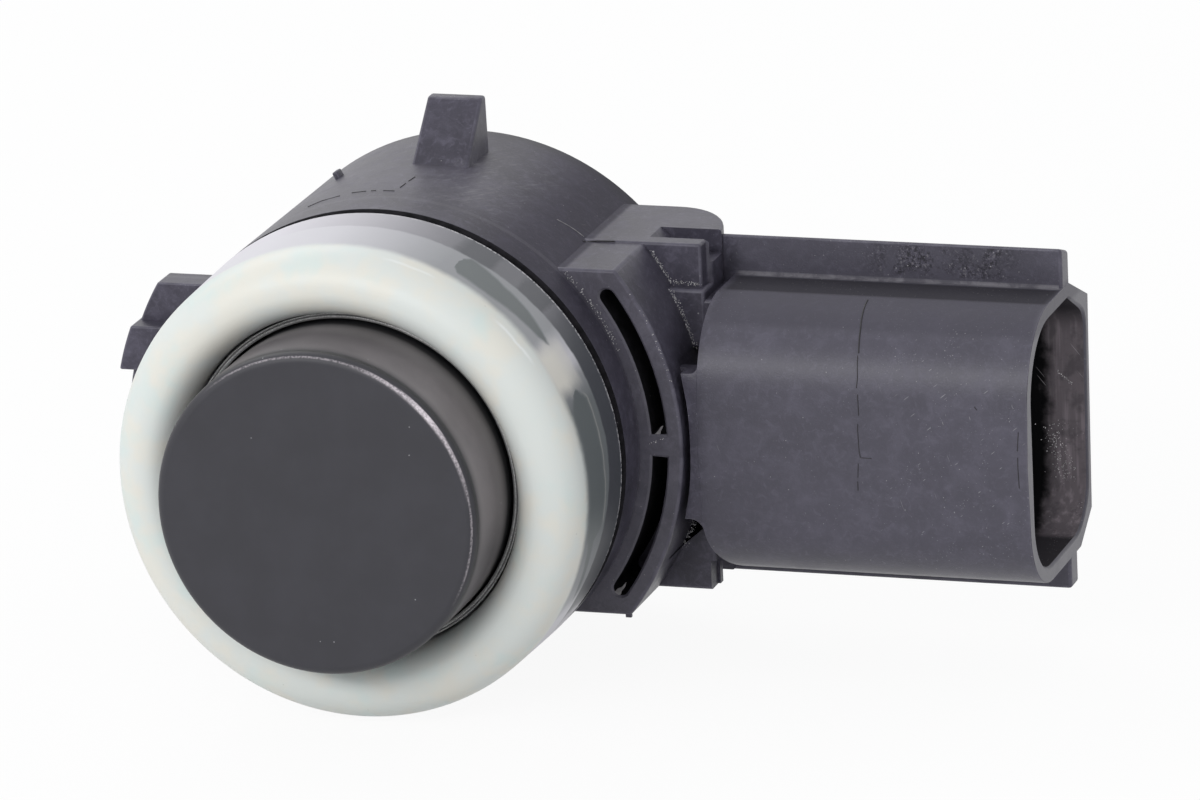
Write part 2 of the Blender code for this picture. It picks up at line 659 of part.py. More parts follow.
def neck_tool():
    """The block behind the bracket, with its rounded rear corner and the two open pockets."""
    root = CAVITY_RADIUS - NECK_CORNER_LENGTH
    outline = [(root, GUSSET_FRONT), (NECK_LENGTH, GUSSET_FRONT)]
    corner = (NECK_LENGTH - NECK_CORNER_LENGTH, NECK_REAR - NECK_CORNER_DEPTH)
    outline += arc(NECK_CORNER_LENGTH, 0.0, 90.0, NECK_CORNER_STEPS, corner, NECK_CORNER_DEPTH)
    outline.append((root, NECK_REAR))
    neck = plate("neck", [outline], NECK_BOTTOM, NECK_TOP, (0.0, 0.0, 0.0), "Z")
    beyond = NECK_LENGTH + OVERCUT
    over = NECK_TOP + OVERCUT
    before = GUSSET_FRONT - OVERCUT
    inward = root - OVERCUT
    cut_from(neck, block("upper_front", (inward, before, GUSSET_TOP), (beyond, NECK_FRONT, over)))
    cut_from(neck, block("upper_end", (BLOCK_END, before, GUSSET_TOP), (beyond, BLOCK_REAR + SINK, over)))
    cut_from(neck, block("lower_end", (BLOCK_END, before, NECK_BOTTOM - OVERCUT),
                         (beyond, GUSSET_FRONT + LOWER_BLOCK_DEPTH, SOCKET_BOTTOM - THROAT_SHY)))
    cut_from(neck, block("lower_lip", (BLOCK_END + SLIDE_GAP, before, NECK_BOTTOM - OVERCUT),
                         (beyond, NECK_REAR + OVERCUT, SOCKET_BOTTOM - LOWER_END_LIP)))
    for name, edge, side in (("upper", NECK_TOP, 1.0), ("lower", NECK_BOTTOM, -1.0)):
        clear = edge + side * OVERCUT
        floor = edge - side * POCKET_DEPTH
        ramp = [(POCKET_START - POCKET_RAMP, clear), (POCKET_START, edge),
                (POCKET_START + POCKET_RAMP, floor), (beyond, floor), (beyond, clear)]
        cut_from(neck, plate(name + "_pocket", [ramp], BLOCK_REAR, POCKET_REAR, ACROSS_DEPTH, "Y"))
    return neck


def socket_outline(inset=0.0):
    """Rounded front and sloped rear of the socket, in depth and height."""
    front = SOCKET_FRONT + inset
    rear = SOCKET_REAR
    outline = []
    if inset == 0.0:
        outline.append((SOCKET_FRONT - SOCKET_BULGE, SOCKET_MIDDLE))
    else:
        rear -= SOCKET_REAR_WALL
    top = SOCKET_TOP - inset
    turn = SOCKET_TOP_ROUND - inset
    outline += arc(turn, 180.0, 90.0, ROUND_CORNER_STEPS, (front + turn, top - turn))
    outline += [(SOCKET_REAR - SOCKET_TOP_SLOPE, top), (rear, top - SOCKET_TOP_FALL)]
    bottom = SOCKET_BOTTOM + inset
    turn = SOCKET_BOTTOM_ROUND - inset
    outline += [(rear - SOCKET_REAR_LEAN, bottom + SOCKET_BOTTOM_FALL),
                (SOCKET_REAR - SOCKET_BOTTOM_SLOPE, bottom)]
    outline += arc(turn, 270.0, 180.0, ROUND_CORNER_STEPS, (front + turn, bottom + turn))
    return outline


def socket_front_at(height):
    """Depth of the socket's front face at a height."""
    above = height - (SOCKET_TOP - SOCKET_TOP_ROUND)
    below = SOCKET_BOTTOM + SOCKET_BOTTOM_ROUND - height
    if above > 0.0:
        return SOCKET_FRONT + SOCKET_TOP_ROUND - math.sqrt(SOCKET_TOP_ROUND ** 2 - above ** 2)
    if below > 0.0:
        return SOCKET_FRONT + SOCKET_BOTTOM_ROUND - math.sqrt(SOCKET_BOTTOM_ROUND ** 2 - below ** 2)
    reach = (SOCKET_TOP - SOCKET_TOP_ROUND) if height > SOCKET_MIDDLE else SOCKET_BOTTOM + SOCKET_BOTTOM_ROUND
    return SOCKET_FRONT - SOCKET_BULGE * (reach - height) / (reach - SOCKET_MIDDLE)


def side_sector(name, outer, front, rear, low, high):
    """A block on the left of the body, bounded outside by an arc about the axis."""
    inner = BODY_RADIUS - SINK
    start = 180.0 - math.degrees(math.asin(high / outer))
    end = 180.0 - math.degrees(math.asin(low / outer))
    outline = arc(outer, start, end, SMALL_ARC_STEPS)
    outline += [(-math.sqrt(inner ** 2 - low ** 2), low), (-math.sqrt(inner ** 2 - high ** 2), high)]
    return plate(name, [outline], front, rear, ACROSS_DEPTH, "Y")


def top_lug_tool():
    """Snap lug with a ramp in front and a steep back, slightly narrower at its tip."""
    base = BODY_RADIUS - SINK
    tip = BODY_RADIUS + TOP_LUG_HEIGHT
    crest = TOP_LUG_FRONT + TOP_LUG_RAMP
    rear = crest + TOP_LUG_LAND
    outline = [(TOP_LUG_FRONT - SINK, base), (TOP_LUG_FRONT, BODY_RADIUS), (crest, tip),
               (rear, tip), (rear, base)]
    half = TOP_LUG_WIDTH / 2.0
    lug = plate("top_lug", [outline], TOP_LUG_CENTRE - half, TOP_LUG_CENTRE + half, ALONG_SOCKET, "X")
    narrowing = TOP_LUG_TIP_WIDTH / TOP_LUG_WIDTH
    for vert in lug.data.vertices:
        share = max(0.0, (vert.co.y - BODY_RADIUS) / TOP_LUG_HEIGHT)
        vert.co.z *= 1.0 + (narrowing - 1.0) * share
    return lug


def body_nub_tool():
    """Small nub left on the body's upper left."""
    half = BODY_NUB_SIZE / 2.0
    nub = block("body_nub", (-SINK, -half, -half / 2.0), (BODY_NUB_HEIGHT, half, half / 2.0))
    angle = math.radians(BODY_NUB_ANGLE)
    middle = (BODY_NUB_HEIGHT - SINK) / 2.0
    reach = BODY_RADIUS + middle
    nub.location = (reach * math.cos(angle), BODY_NUB_DEPTH, reach * math.sin(angle))
    nub.rotation_euler = (0.0, -angle, 0.0)
    return nub


def rail_tool(name, root, crest, fall):
    """Guide rail on the socket's top or underside, its outer face falling towards the rear."""
    rear = RAIL_FRONT + RAIL_THICKNESS
    outline = [(RAIL_FRONT, root), (RAIL_FRONT, crest), (rear, crest - fall), (rear, root)]
    return plate(name, [outline], NECK_LENGTH - SINK, SOCKET_MOUTH - RAIL_END_SHY, ALONG_SOCKET, "X")


def web_face_tool():
    """Thin plate that carries the socket's front face on towards the bracket, rounded into it."""
    top = WEB_TOP + WEB_TOP_ROUND
    bottom = WEB_BOTTOM - WEB_BOTTOM_ROUND
    heights = [top + (bottom - top) * step / WEB_STEPS for step in range(WEB_STEPS + 1)]
    outline = [(socket_front_at(height) + WEB_SHY, height) for height in heights]
    outline += [(WEB_FRONT + SINK, bottom), (WEB_FRONT + SINK, top)]
    face = plate("web_face", [outline], SLOT_OUTER_RADIUS, SOCKET_START + SINK, ALONG_SOCKET, "X")
    profile = disc_profile(BRACKET_RADIUS + WEB_GROOVE, SOCKET_FRONT - OVERCUT, WEB_FRONT + WEB_SHY)
    cut_from(face, turned("web_groove", profile))
    before = SLOT_OUTER_RADIUS - OVERCUT
    end = SOCKET_START + WEB_SHY
    for name, edge, turn, side in (("web_top_round", WEB_TOP - WEB_SHY, WEB_TOP_ROUND, 1.0),
                                   ("web_bottom_round", WEB_BOTTOM + WEB_SHY, WEB_BOTTOM_ROUND, -1.0)):
        far = edge + side * (turn + OVERCUT)
        outline = [(before, far), (before, edge)]
        outline += arc(turn, -side * 90.0, 0.0, WEB_ROUND_STEPS, (end - turn, edge + side * turn))
        outline.append((end, far))
        cut_from(face, plate(name, [outline], SOCKET_FRONT - OVERCUT, WEB_FRONT + SINK + OVERCUT,
                             ACROSS_DEPTH, "Y"))
    return face


def neck_hole_tool(name, side, heights, end_height):
    """Moulding hole behind the web, between the bracket and the socket."""
    radius = BRACKET_RADIUS - HOLE_BITE
    start, stop = [side * math.degrees(math.asin(height / radius)) for height in heights]
    end = SOCKET_START - HOLE_END_WALL
    outline = arc(radius, start, stop, SMALL_ARC_STEPS)
    outline += [(end, side * end_height), (end, side * heights[0])]
    return plate(name, [outline], WEB_FRONT + THROAT_SHY, NECK_FRONT + HOLE_DEPTH, ACROSS_DEPTH, "Y")


def shroud_tool():
    """The socket's outside, rounded where its end meets its underside."""
    shroud = plate("socket", [socket_outline()], SOCKET_START, SOCKET_MOUTH, ALONG_SOCKET, "X")
    turn = SOCKET_START_ROUND
    corner = (SOCKET_START + turn, SOCKET_BOTTOM + SOCKET_START_FALL)
    below = SOCKET_BOTTOM - OVERCUT
    before = SOCKET_START - OVERCUT
    outline = [(before, below), (before, corner[1])]
    outline += arc(turn, 180.0, 270.0, SMALL_ARC_STEPS, corner, SOCKET_START_FALL)
    outline.append((corner[0], below))
    cut_from(shroud, plate("start_round", [outline], SOCKET_FRONT - OVERCUT, SOCKET_REAR + OVERCUT,
                           ACROSS_DEPTH, "Y"))
    return shroud


def join_socket(housing):
    """Socket, its rails and the solid pieces between it and the bracket."""
    web_start = SLOT_OUTER_RADIUS + SLIDE_GAP
    join_to(housing, block("web", (web_start, WEB_FRONT, WEB_BOTTOM),
                           (SOCKET_START + SINK, NECK_FRONT + SINK, WEB_TOP)))
    low = (NECK_LENGTH - SINK, GUSSET_FRONT + THROAT_SHY, SOCKET_BOTTOM + THROAT_INSET)
    high = (SOCKET_START + SINK, SOCKET_REAR - SOCKET_TOP_SLOPE - THROAT_INSET, SOCKET_TOP - THROAT_INSET)
    join_to(housing, block("throat", low, high))
    cut_from(housing, neck_hole_tool("upper_hole", 1.0, (HOLE_INNER_HEIGHT, WEB_TOP + HOLE_RISE),
                                     WEB_TOP + HOLE_RISE))
    cut_from(housing, neck_hole_tool("lower_hole", -1.0, (HOLE_INNER_HEIGHT, LOWER_GUSSET_FOOT),
                                     LOWER_GUSSET_TOP))
    join_to(housing, web_face_tool())
    join_to(housing, shroud_tool())
    join_to(housing, rail_tool("upper_rail", SOCKET_TOP - SINK, SOCKET_TOP + RAIL_UPPER_HEIGHT,
                                RAIL_TOP_FALL))
    join_to(housing, rail_tool("lower_rail", SOCKET_BOTTOM + SINK, SOCKET_BOTTOM - RAIL_LOWER_HEIGHT, 0.0))


def join_lugs(housing):
    """Top lug, stepped side lug and the small nubs."""
    join_to(housing, top_lug_tool())
    join_to(housing, body_nub_tool())
    upper_front = SIDE_LUG_REAR - SIDE_LUG_UPPER_LENGTH
    lower_front = SIDE_LUG_REAR - SIDE_LUG_LOWER_LENGTH
    rim_front = SIDE_LUG_REAR - SIDE_RIM_LENGTH
    join_to(housing, side_sector("side_upper", SIDE_LUG_RADIUS, upper_front, SIDE_LUG_REAR,
                                 SIDE_LUG_STEP - SLIDE_GAP, SIDE_LUG_TOP))
    join_to(housing, side_sector("side_lower", SIDE_LUG_RADIUS + SLIDE_GAP, lower_front,
                                 SIDE_LUG_REAR - SLIDE_GAP, SIDE_LUG_BOTTOM, SIDE_LUG_STEP))
    join_to(housing, side_sector("side_rim", SIDE_RIM_RADIUS, rim_front,
                                 SIDE_LUG_REAR - 2.0 * SLIDE_GAP, SIDE_RIM_BOTTOM,
                                 SIDE_LUG_BOTTOM + SLIDE_GAP))
    nub = BRACKET_NUB
    place = BRACKET_RADIUS - BRACKET_NUB_PLACE
    join_to(housing, block("bracket_nub",
                           (place - nub, BRACKET_FRONT + SLIDE_GAP, -BRACKET_HALF_HEIGHT - nub),
                           (place + nub, BRACKET_FRONT + SEAT_GAP, -BRACKET_HALF_HEIGHT + nub)))


def make_housing():
    housing = link(body_tool(), housing_plastic())
    cut_from(housing, crown_notches_tool())
    join_to(housing, bracket_tool())
    join_to(housing, neck_tool())
    join_socket(housing)
    join_lugs(housing)
    cut_from(housing, inside_tool())
    hollow = plate("socket_hollow", [socket_outline(SOCKET_WALL)], SOCKET_FLOOR,
                   SOCKET_MOUTH + OVERCUT, ALONG_SOCKET, "X")
    cut_from(housing, hollow)
    for letter, height in terminal_heights():
        half_width = TERMINAL_WIDTH / 2.0 + SEAT_GAP
        half_depth = TERMINAL_THICKNESS / 2.0 + SEAT_GAP
        cut_from(housing, block("terminal_passage_" + letter,
                                (CAVITY_RADIUS - BODY_WALL, TERMINAL_DEPTH - half_depth, height - half_width),
                                (SOCKET_FLOOR + OVERCUT, TERMINAL_DEPTH + half_depth, height + half_width)))
    merge_near_points(housing)


# Terminals
def terminal_heights():
    return [(letter, SOCKET_MIDDLE + TERMINAL_PITCH * row) for letter, row in zip("abc", (1, 0, -1))]


def make_terminals():
    half = TERMINAL_THICKNESS / 2.0
    chamfer = TERMINAL_TIP_CHAMFER
    low = TERMINAL_DEPTH - half
    high = TERMINAL_DEPTH + half
    outline = [
        (TERMINAL_LEG - half, BOARD_FRONT - TERMINAL_TAIL),
        (TERMINAL_LEG + half, BOARD_FRONT - TERMINAL_TAIL),
        (TERMINAL_LEG + half, low),
        (TERMINAL_TIP - 2.0 * chamfer, low),
        (TERMINAL_TIP, low + chamfer),
        (TERMINAL_TIP, high - chamfer),
        (TERMINAL_TIP - 2.0 * chamfer, high),
        (TERMINAL_LEG - half, high),
    ]
    tin = material("tinned_contact", (0.75, 0.74, 0.7), 0.3, 1.0)
    for letter, height in terminal_heights():
        start = height - TERMINAL_WIDTH / 2.0
        blade = plate("terminal_" + letter, [outline], start, start + TERMINAL_WIDTH, (0.0, 0.0, 0.0), "Z")
        link(blade, tin)


# Board and its parts
def make_circuit_board():
    profile = disc_profile(BOARD_RADIUS, BOARD_FRONT, BOARD_REAR)
    board = turned("circuit_board", profile, steps=MIDDLE_STEPS)
    link(board, material("board_laminate", (0.05, 0.22, 0.12), 0.5))
    cut_lead_holes(board, BOARD_FRONT, BOARD_REAR, PIN_RADIUS + SEAT_GAP)
    reach = TERMINAL_THICKNESS / 2.0 + SEAT_GAP
    width = TERMINAL_WIDTH / 2.0 + SEAT_GAP
    for letter, height in terminal_heights():
        cut_from(board, block("board_slot_" + letter,
                              (TERMINAL_LEG - reach, BOARD_FRONT - OVERCUT, height - width),
                              (TERMINAL_LEG + reach, BOARD_REAR + OVERCUT, height + width)))


def board_block(name, place, size, surface):
    """A small part of (width, height, length) that stands on the board's rear face."""
    low = (place[0] - size[0] / 2.0, PARTS_SEAT, place[1] - size[2] / 2.0)
    high = (place[0] + size[0] / 2.0, PARTS_SEAT + size[1], place[1] + size[2] / 2.0)
    item = link(block(name, low, high), surface)
    round_edges(item, SMALL_EDGE, 1)


def make_board_parts():
    board_block("driver_chip", CHIP_PLACE, (CHIP_SIZE, CHIP_HEIGHT, CHIP_SIZE),
                material("chip_resin", (0.03, 0.03, 0.032), 0.6))
    board_block("timing_crystal", (-CRYSTAL_REACH, CORE_PLACE[1]), CRYSTAL_SIZE,
                material("crystal_can", (0.7, 0.68, 0.62), 0.3, 1.0))
    ceramic = material("ceramic_body", (0.45, 0.33, 0.2), 0.5)
    for letter, side in (("a", -1.0), ("b", 1.0)):
        place = (side * CHIP_PART_REACH, CHIP_PLACE[1])
        board_block("ceramic_capacitor_" + letter, place, CHIP_PART_SIZE, ceramic)
    resistor = material("resistor_body", (0.05, 0.05, 0.06), 0.5)
    for letter, step in (("a", 1.0), ("b", 0.0)):
        place = (RESISTOR_REACH, CORE_PLACE[1] + step * (CHIP_PART_SIZE[2] + CHIP_PART_SPACE))
        board_block("resistor_" + letter, place, CHIP_PART_SIZE, resistor)


def make_filter_capacitor():
    radius = FILTER_CAP_RADIUS
    waist = radius - FILTER_CAP_GROOVE
    rear = PARTS_SEAT + FILTER_CAP_HEIGHT
    groove = PARTS_SEAT + FILTER_CAP_GROOVE_PLACE
    profile = [
        (0.0, rear),
        (waist, rear),
        (radius, rear - FILTER_CAP_GROOVE),
        (radius, groove + FILTER_CAP_GROOVE),
        (waist, groove),
        (radius, groove - FILTER_CAP_GROOVE),
        (radius, PARTS_SEAT),
        (0.0, PARTS_SEAT),
    ]
    can = material("capacitor_can", (0.75, 0.75, 0.77), 0.3, 1.0)
    link(turned("filter_capacitor", profile, FILTER_CAP_PLACE, SMALL_STEPS), can)


def make_transformer():
    bore = CORE_RADIUS - CORE_WALL
    core_rear = PARTS_SEAT + CORE_HEIGHT
    roof = core_rear - CORE_WALL
    core = [
        (0.0, core_rear),
        (CORE_RADIUS, core_rear),
        (CORE_RADIUS, PARTS_SEAT),
        (bore, PARTS_SEAT),
        (bore, roof),
        (CORE_POST_RADIUS, roof),
        (CORE_POST_RADIUS, PARTS_SEAT),
        (0.0, PARTS_SEAT),
    ]
    ferrite = material("ferrite", (0.08, 0.08, 0.085), 0.5)
    link(turned("transformer_core", core, CORE_PLACE, SMALL_STEPS), ferrite)
    spool_bore = CORE_POST_RADIUS + SEAT_GAP
    drum = spool_bore + BOBBIN_WALL
    flange = bore - SEAT_GAP
    rear = roof - SEAT_GAP
    spool = [
        (spool_bore, rear),
        (flange, rear),
        (flange, rear - BOBBIN_WALL),
        (drum, rear - BOBBIN_WALL),
        (drum, PARTS_SEAT + BOBBIN_WALL),
        (flange, PARTS_SEAT + BOBBIN_WALL),
        (flange, PARTS_SEAT),
        (spool_bore, PARTS_SEAT),
    ]
    nylon = material("bobbin_plastic", (0.6, 0.55, 0.4), 0.5)
    link(turned("transformer_bobbin", spool, CORE_PLACE, SMALL_STEPS), nylon)
    winding = ring_profile(drum + SEAT_GAP, flange, PARTS_SEAT + BOBBIN_WALL + SEAT_GAP,
                           rear - BOBBIN_WALL - SEAT_GAP)
    wire = material("winding_copper", (0.6, 0.3, 0.15), 0.4, 1.0)
    link(turned("transformer_winding", winding, CORE_PLACE, SMALL_STEPS), wire)


def make_rear_cover():
    outer = BODY_RADIUS - COVER_RECESS_WALL - SEAT_GAP
    seat = RECESS_FRONT + SEAT_GAP
    spigot = CAVITY_RADIUS - SEAT_GAP
    spigot_inner = spigot - COVER_SPIGOT_WALL
    spigot_front = seat - COVER_SPIGOT_DEPTH
    profile = [
        (0.0, BODY_REAR),
        (outer - COVER_EDGE, BODY_REAR),
        (outer, BODY_REAR - COVER_EDGE),
        (outer, seat),
        (spigot, seat),
        (spigot, spigot_front),
        (spigot_inner, spigot_front),
        (spigot_inner, seat),
        (0.0, seat),
    ]
    link(turned("rear_cover", profile), material("cover_plastic", (0.05, 0.048, 0.056), 0.5))


def main():
    make_housing()
    make_membrane_cup()
    make_piezo_disc()
    make_cup_filling()
    make_leads_and_pins()
    make_cup_cushion()
    make_contact_carrier()
    make_collar_sleeve()
    make_decoupling_ring()
    make_terminals()
    make_circuit_board()
    make_board_parts()
    make_filter_capacitor()
    make_transformer()
    make_rear_cover()


main()
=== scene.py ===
import math
import random

import bmesh
import bpy
from mathutils import Matrix, Vector


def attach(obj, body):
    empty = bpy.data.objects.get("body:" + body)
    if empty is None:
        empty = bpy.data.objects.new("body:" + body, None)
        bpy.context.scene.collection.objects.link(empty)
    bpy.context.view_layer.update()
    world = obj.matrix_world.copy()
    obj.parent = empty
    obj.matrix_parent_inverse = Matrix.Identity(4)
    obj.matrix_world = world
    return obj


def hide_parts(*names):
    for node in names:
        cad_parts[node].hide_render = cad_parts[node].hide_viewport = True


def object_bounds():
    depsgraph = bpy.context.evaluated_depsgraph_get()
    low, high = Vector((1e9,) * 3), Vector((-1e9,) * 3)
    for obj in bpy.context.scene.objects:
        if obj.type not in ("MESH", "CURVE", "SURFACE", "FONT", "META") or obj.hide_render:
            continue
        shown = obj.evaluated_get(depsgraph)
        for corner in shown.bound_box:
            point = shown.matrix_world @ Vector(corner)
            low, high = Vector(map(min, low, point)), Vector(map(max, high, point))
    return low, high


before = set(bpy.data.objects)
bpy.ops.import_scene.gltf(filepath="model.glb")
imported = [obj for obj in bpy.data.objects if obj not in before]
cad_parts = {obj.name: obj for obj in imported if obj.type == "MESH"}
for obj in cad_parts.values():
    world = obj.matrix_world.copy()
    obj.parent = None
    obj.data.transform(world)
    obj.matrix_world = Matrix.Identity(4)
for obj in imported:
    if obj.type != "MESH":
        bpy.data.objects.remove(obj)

bl_info = {
    "name": "Parking sensor",
    "version": (1, 0, 0),
    "blender": (4, 5, 0),
    "location": "3D View > Sidebar > Sensor",
    "description": "Dresses the packed parking sensor and sets it in a plain studio",
    "category": "Object",
}

CAD_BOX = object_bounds()
MM = 0.001

# Fineness of the round forms, and the angles in degrees from which an edge is rounded or kept sharp
TURN_STEPS = 160
ARC_STEPS = 14
EDGE_STEPS = 3
CORNER_STEPS = 4
LINE_STEPS = 8
EDGE_ANGLE = 30.0
SHARP_ANGLE = 38.0
FLAT_WEIGHT = 60

# Clearances, as in the solids
SEAT_GAP = 0.3 * MM
SLIDE_GAP = 0.12 * MM
OVERCUT = 1.0 * MM
SINK = 0.6 * MM
SKIN = 0.01 * MM
WELD_REACH = 0.004 * MM
SCATTER_SEED = 7
FLASH_PROUD = 0.006 * MM

# Cup, collar and ring
CUP_RADIUS = 7.8 * MM
CUP_DEPTH = 9.0 * MM
CUP_FLOOR = 0.9 * MM
CUP_WALL = 1.1 * MM
CUP_INNER_ROUND = 0.3 * MM
SLEEVE_RADIUS = 8.7 * MM
SLEEVE_LIP = 0.28 * MM
SLEEVE_FRONT = 5.25 * MM
RING_BORE = 8.32 * MM
RING_CREST_RADIUS = 9.6 * MM
RING_CREST_DEPTH = 3.45 * MM
RING_ROUNDING = 1.88 * MM
RING_FALL = 1.65 * MM
RING_LAND = 1.2 * MM
INNER_SKIRT = 9.0 * MM
INNER_SKIRT_OUTER = 9.35 * MM
SKIRT_WALL = 0.55 * MM
SKIRT_EDGE = 0.08 * MM
SKIRT_TAPER = 0.05 * MM
SKIRT_START = 6.6 * MM
SKIRT_MIDDLE = 8.2 * MM
LIP_RIB = 0.06 * MM

# Body of the housing
BODY_RADIUS = 11.62 * MM
BODY_FRONT = 10.5 * MM
BODY_REAR = 24.8 * MM
BODY_EDGE = 0.18 * MM
BODY_LIP = 0.4 * MM
CAVITY_RADIUS = 10.22 * MM
CROWN_FRONT = 7.2 * MM
CROWN_BORE = 9.65 * MM
CROWN_RADIUS = 10.77 * MM
CROWN_BASE = 8.9 * MM
CROWN_NOTCH_WIDTH = 2.4 * MM
CROWN_SINK = 0.1 * MM
CROWN_EDGE = 0.12 * MM
KEY_GAP = 0.1 * MM
KEY_PROUD = 0.2 * MM
KEY_EDGE = 0.1 * MM
SHOULDER_FRONT = 10.7 * MM
SHOULDER_REAR = 12.2 * MM
SHOULDER_BORE = 5.2 * MM
LEDGE_REAR = 14.2 * MM
LEDGE_WIDTH = 0.8 * MM
RECESS_FRONT = 23.4 * MM
RECESS_WALL = 0.8 * MM

# Lugs; the top one by its centre, width, width at the tip, front, crest, land behind the crest and height
TOP_LUG = (0.35 * MM, 2.85 * MM, 2.75 * MM, 18.6 * MM, 21.2 * MM, 0.6 * MM, 2.62 * MM)
SIDE_LUG_RADIUS = 13.75 * MM
SIDE_LUG_REAR = 13.5 * MM
SIDE_LUG_UPPER_FRONT = 11.8 * MM
SIDE_LUG_LOWER_FRONT = 10.75 * MM
SIDE_LUG_TOP = 7.2 * MM
SIDE_LUG_STEP = 5.3 * MM
SIDE_LUG_BOTTOM = 3.1 * MM
SIDE_RIM_RADIUS = 13.35 * MM
SIDE_RIM_FRONT = 11.2 * MM
SIDE_RIM_BOTTOM = -5.5 * MM
# Nub on the body: degrees round the axis, depth, size and height
BODY_NUB = (117.0, 20.0 * MM, 0.6 * MM, 0.35 * MM)

# Bracket
BRACKET_RADIUS = 13.72 * MM
BRACKET_FRONT = 12.93 * MM
BRACKET_HALF_HEIGHT = 8.5 * MM
SLOT_INNER_RADIUS = 12.2 * MM
SLOT_OUTER_RADIUS = 12.95 * MM
SLOT_RIB = 1.1 * MM
SLOT_END_ANGLE = 36.5
SLOT_FLARE = 0.1 * MM
BRACKET_NUB_INSET = 3.1 * MM
BRACKET_NUB_HALF = 0.15 * MM

# Neck
NECK_FRONT = 17.4 * MM
NECK_LENGTH = 13.85 * MM
NECK_TOP = 8.6 * MM
NECK_BOTTOM = -8.35 * MM
NECK_REAR = 23.6 * MM
NECK_CORNER_LENGTH = 3.2 * MM
NECK_CORNER_DEPTH = 4.2 * MM
GUSSET_FRONT = 16.85 * MM
GUSSET_TOP = 6.52 * MM
BLOCK_END = 13.58 * MM
BLOCK_REAR = 18.3 * MM
POCKET_START = 10.8 * MM
POCKET_RAMP = 1.3 * MM
POCKET_REAR = 20.0 * MM
POCKET_DEPTH = 1.1 * MM
WEB_TOP = 3.46 * MM
WEB_BOTTOM = -3.7 * MM
WEB_TOP_ROUND = 0.4 * MM
WEB_BOTTOM_ROUND = 0.6 * MM
WEB_FRONT = 14.4 * MM
WEB_GROOVE = 0.3 * MM
WEB_SHY = 0.02 * MM
THROAT_SHY = 0.05 * MM
THROAT_INSET = 0.42 * MM
HOLE_RADIUS = 13.67 * MM
HOLE_END = 14.28 * MM
HOLE_INNER_HEIGHT = 2.2 * MM
HOLE_REAR = 20.0 * MM
HOLE_RISE = 0.3 * MM
LOWER_GUSSET_FOOT = 6.25 * MM
LOWER_GUSSET_TOP = 4.45 * MM
LOWER_BLOCK_REAR = 17.9 * MM
LOWER_END_LIP = 0.35 * MM

# Socket
SOCKET_START = 14.38 * MM
SOCKET_START_ROUND = 1.72 * MM
SOCKET_START_FALL = 3.15 * MM
SOCKET_MOUTH = 30.43 * MM
SOCKET_FRONT = 13.33 * MM
SOCKET_REAR = 24.42 * MM
SOCKET_TOP = 6.45 * MM
SOCKET_BOTTOM = -6.85 * MM
SOCKET_TOP_ROUND = 4.1 * MM
SOCKET_BOTTOM_ROUND = 3.6 * MM
SOCKET_TOP_SLOPE = 3.3 * MM
SOCKET_BOTTOM_SLOPE = 2.5 * MM
SOCKET_REAR_TOP = 4.94 * MM
SOCKET_REAR_BOTTOM = -5.53 * MM
SOCKET_REAR_LEAN = 0.4 * MM
SOCKET_BULGE = 0.22 * MM
SOCKET_WALL = 0.75 * MM
SOCKET_REAR_WALL = 0.5 * MM
INNER_ROUND = 0.9 * MM
SOCKET_FLOOR = 16.6 * MM
MOUTH_FLARE = 0.12 * MM
RAIL_FRONT = 20.1 * MM
RAIL_THICKNESS = 1.25 * MM
RAIL_HALF_HEIGHT = 8.38 * MM
RAIL_FALL = 0.42 * MM
RAIL_END_SHY = 0.02 * MM

# Torn flakes in the slots, in millimetres across and up
FLAKE_LOW = ((9.62, -7.86), (9.7, -7.55), (9.98, -7.4), (10.14, -7.22), (10.36, -7.12), (10.6, -6.86),
             (10.52, -7.12), (10.34, -7.34), (10.3, -7.5), (10.02, -7.66), (9.94, -7.84))
FLAKE_HIGH = ((12.18, 0.4), (12.44, 0.63), (12.66, 0.92), (12.78, 0.98), (12.64, 0.68), (12.6, 0.4))
FLAKE_THICKNESS = 0.06
FLAKE_EDGE = 0.015 * MM

# Courses round the ring: degrees from the socket's side upwards, and a share or a depth in millimetres
FROST_HAZE = ((-180.0, 1.0), (-34.0, 1.0), (-29.0, 0.35), (-12.0, 0.08), (19.0, 0.06), (25.0, 0.3),
              (29.0, 0.95), (33.0, 0.8), (38.0, 0.36), (50.0, 0.3), (66.0, 0.32), (80.0, 0.62),
              (95.0, 0.86), (112.0, 1.0), (180.0, 1.0))
STRIP_FRONT = ((-180.0, 9.0), (-32.0, 7.2), (-29.0, 6.8), (-14.0, 6.05), (-12.0, 5.75), (19.0, 5.75),
               (22.5, 6.5), (24.0, 7.6), (33.0, 7.6), (34.5, 6.9), (38.0, 6.5), (45.0, 6.3),
               (52.0, 6.0), (63.0, 6.05), (64.5, 8.6), (180.0, 9.0))
STRIP_REAR = ((-180.0, 5.0), (-32.0, 6.9), (-27.0, 7.2), (-14.0, 6.8), (-12.0, 7.7), (20.0, 7.7),
              (22.5, 7.2), (24.0, 6.4), (33.0, 6.4), (34.5, 6.9), (38.0, 7.2), (45.0, 7.6),
              (52.0, 7.7), (60.0, 8.2), (63.0, 8.2), (64.5, 6.0), (180.0, 5.0))
BAND_START = ((-180.0, 8.2), (-36.0, 7.6), (-29.0, 7.5), (-19.0, 7.8), (-8.0, 8.15), (8.0, 8.5),
              (40.0, 8.4), (66.0, 8.15), (180.0, 8.1))
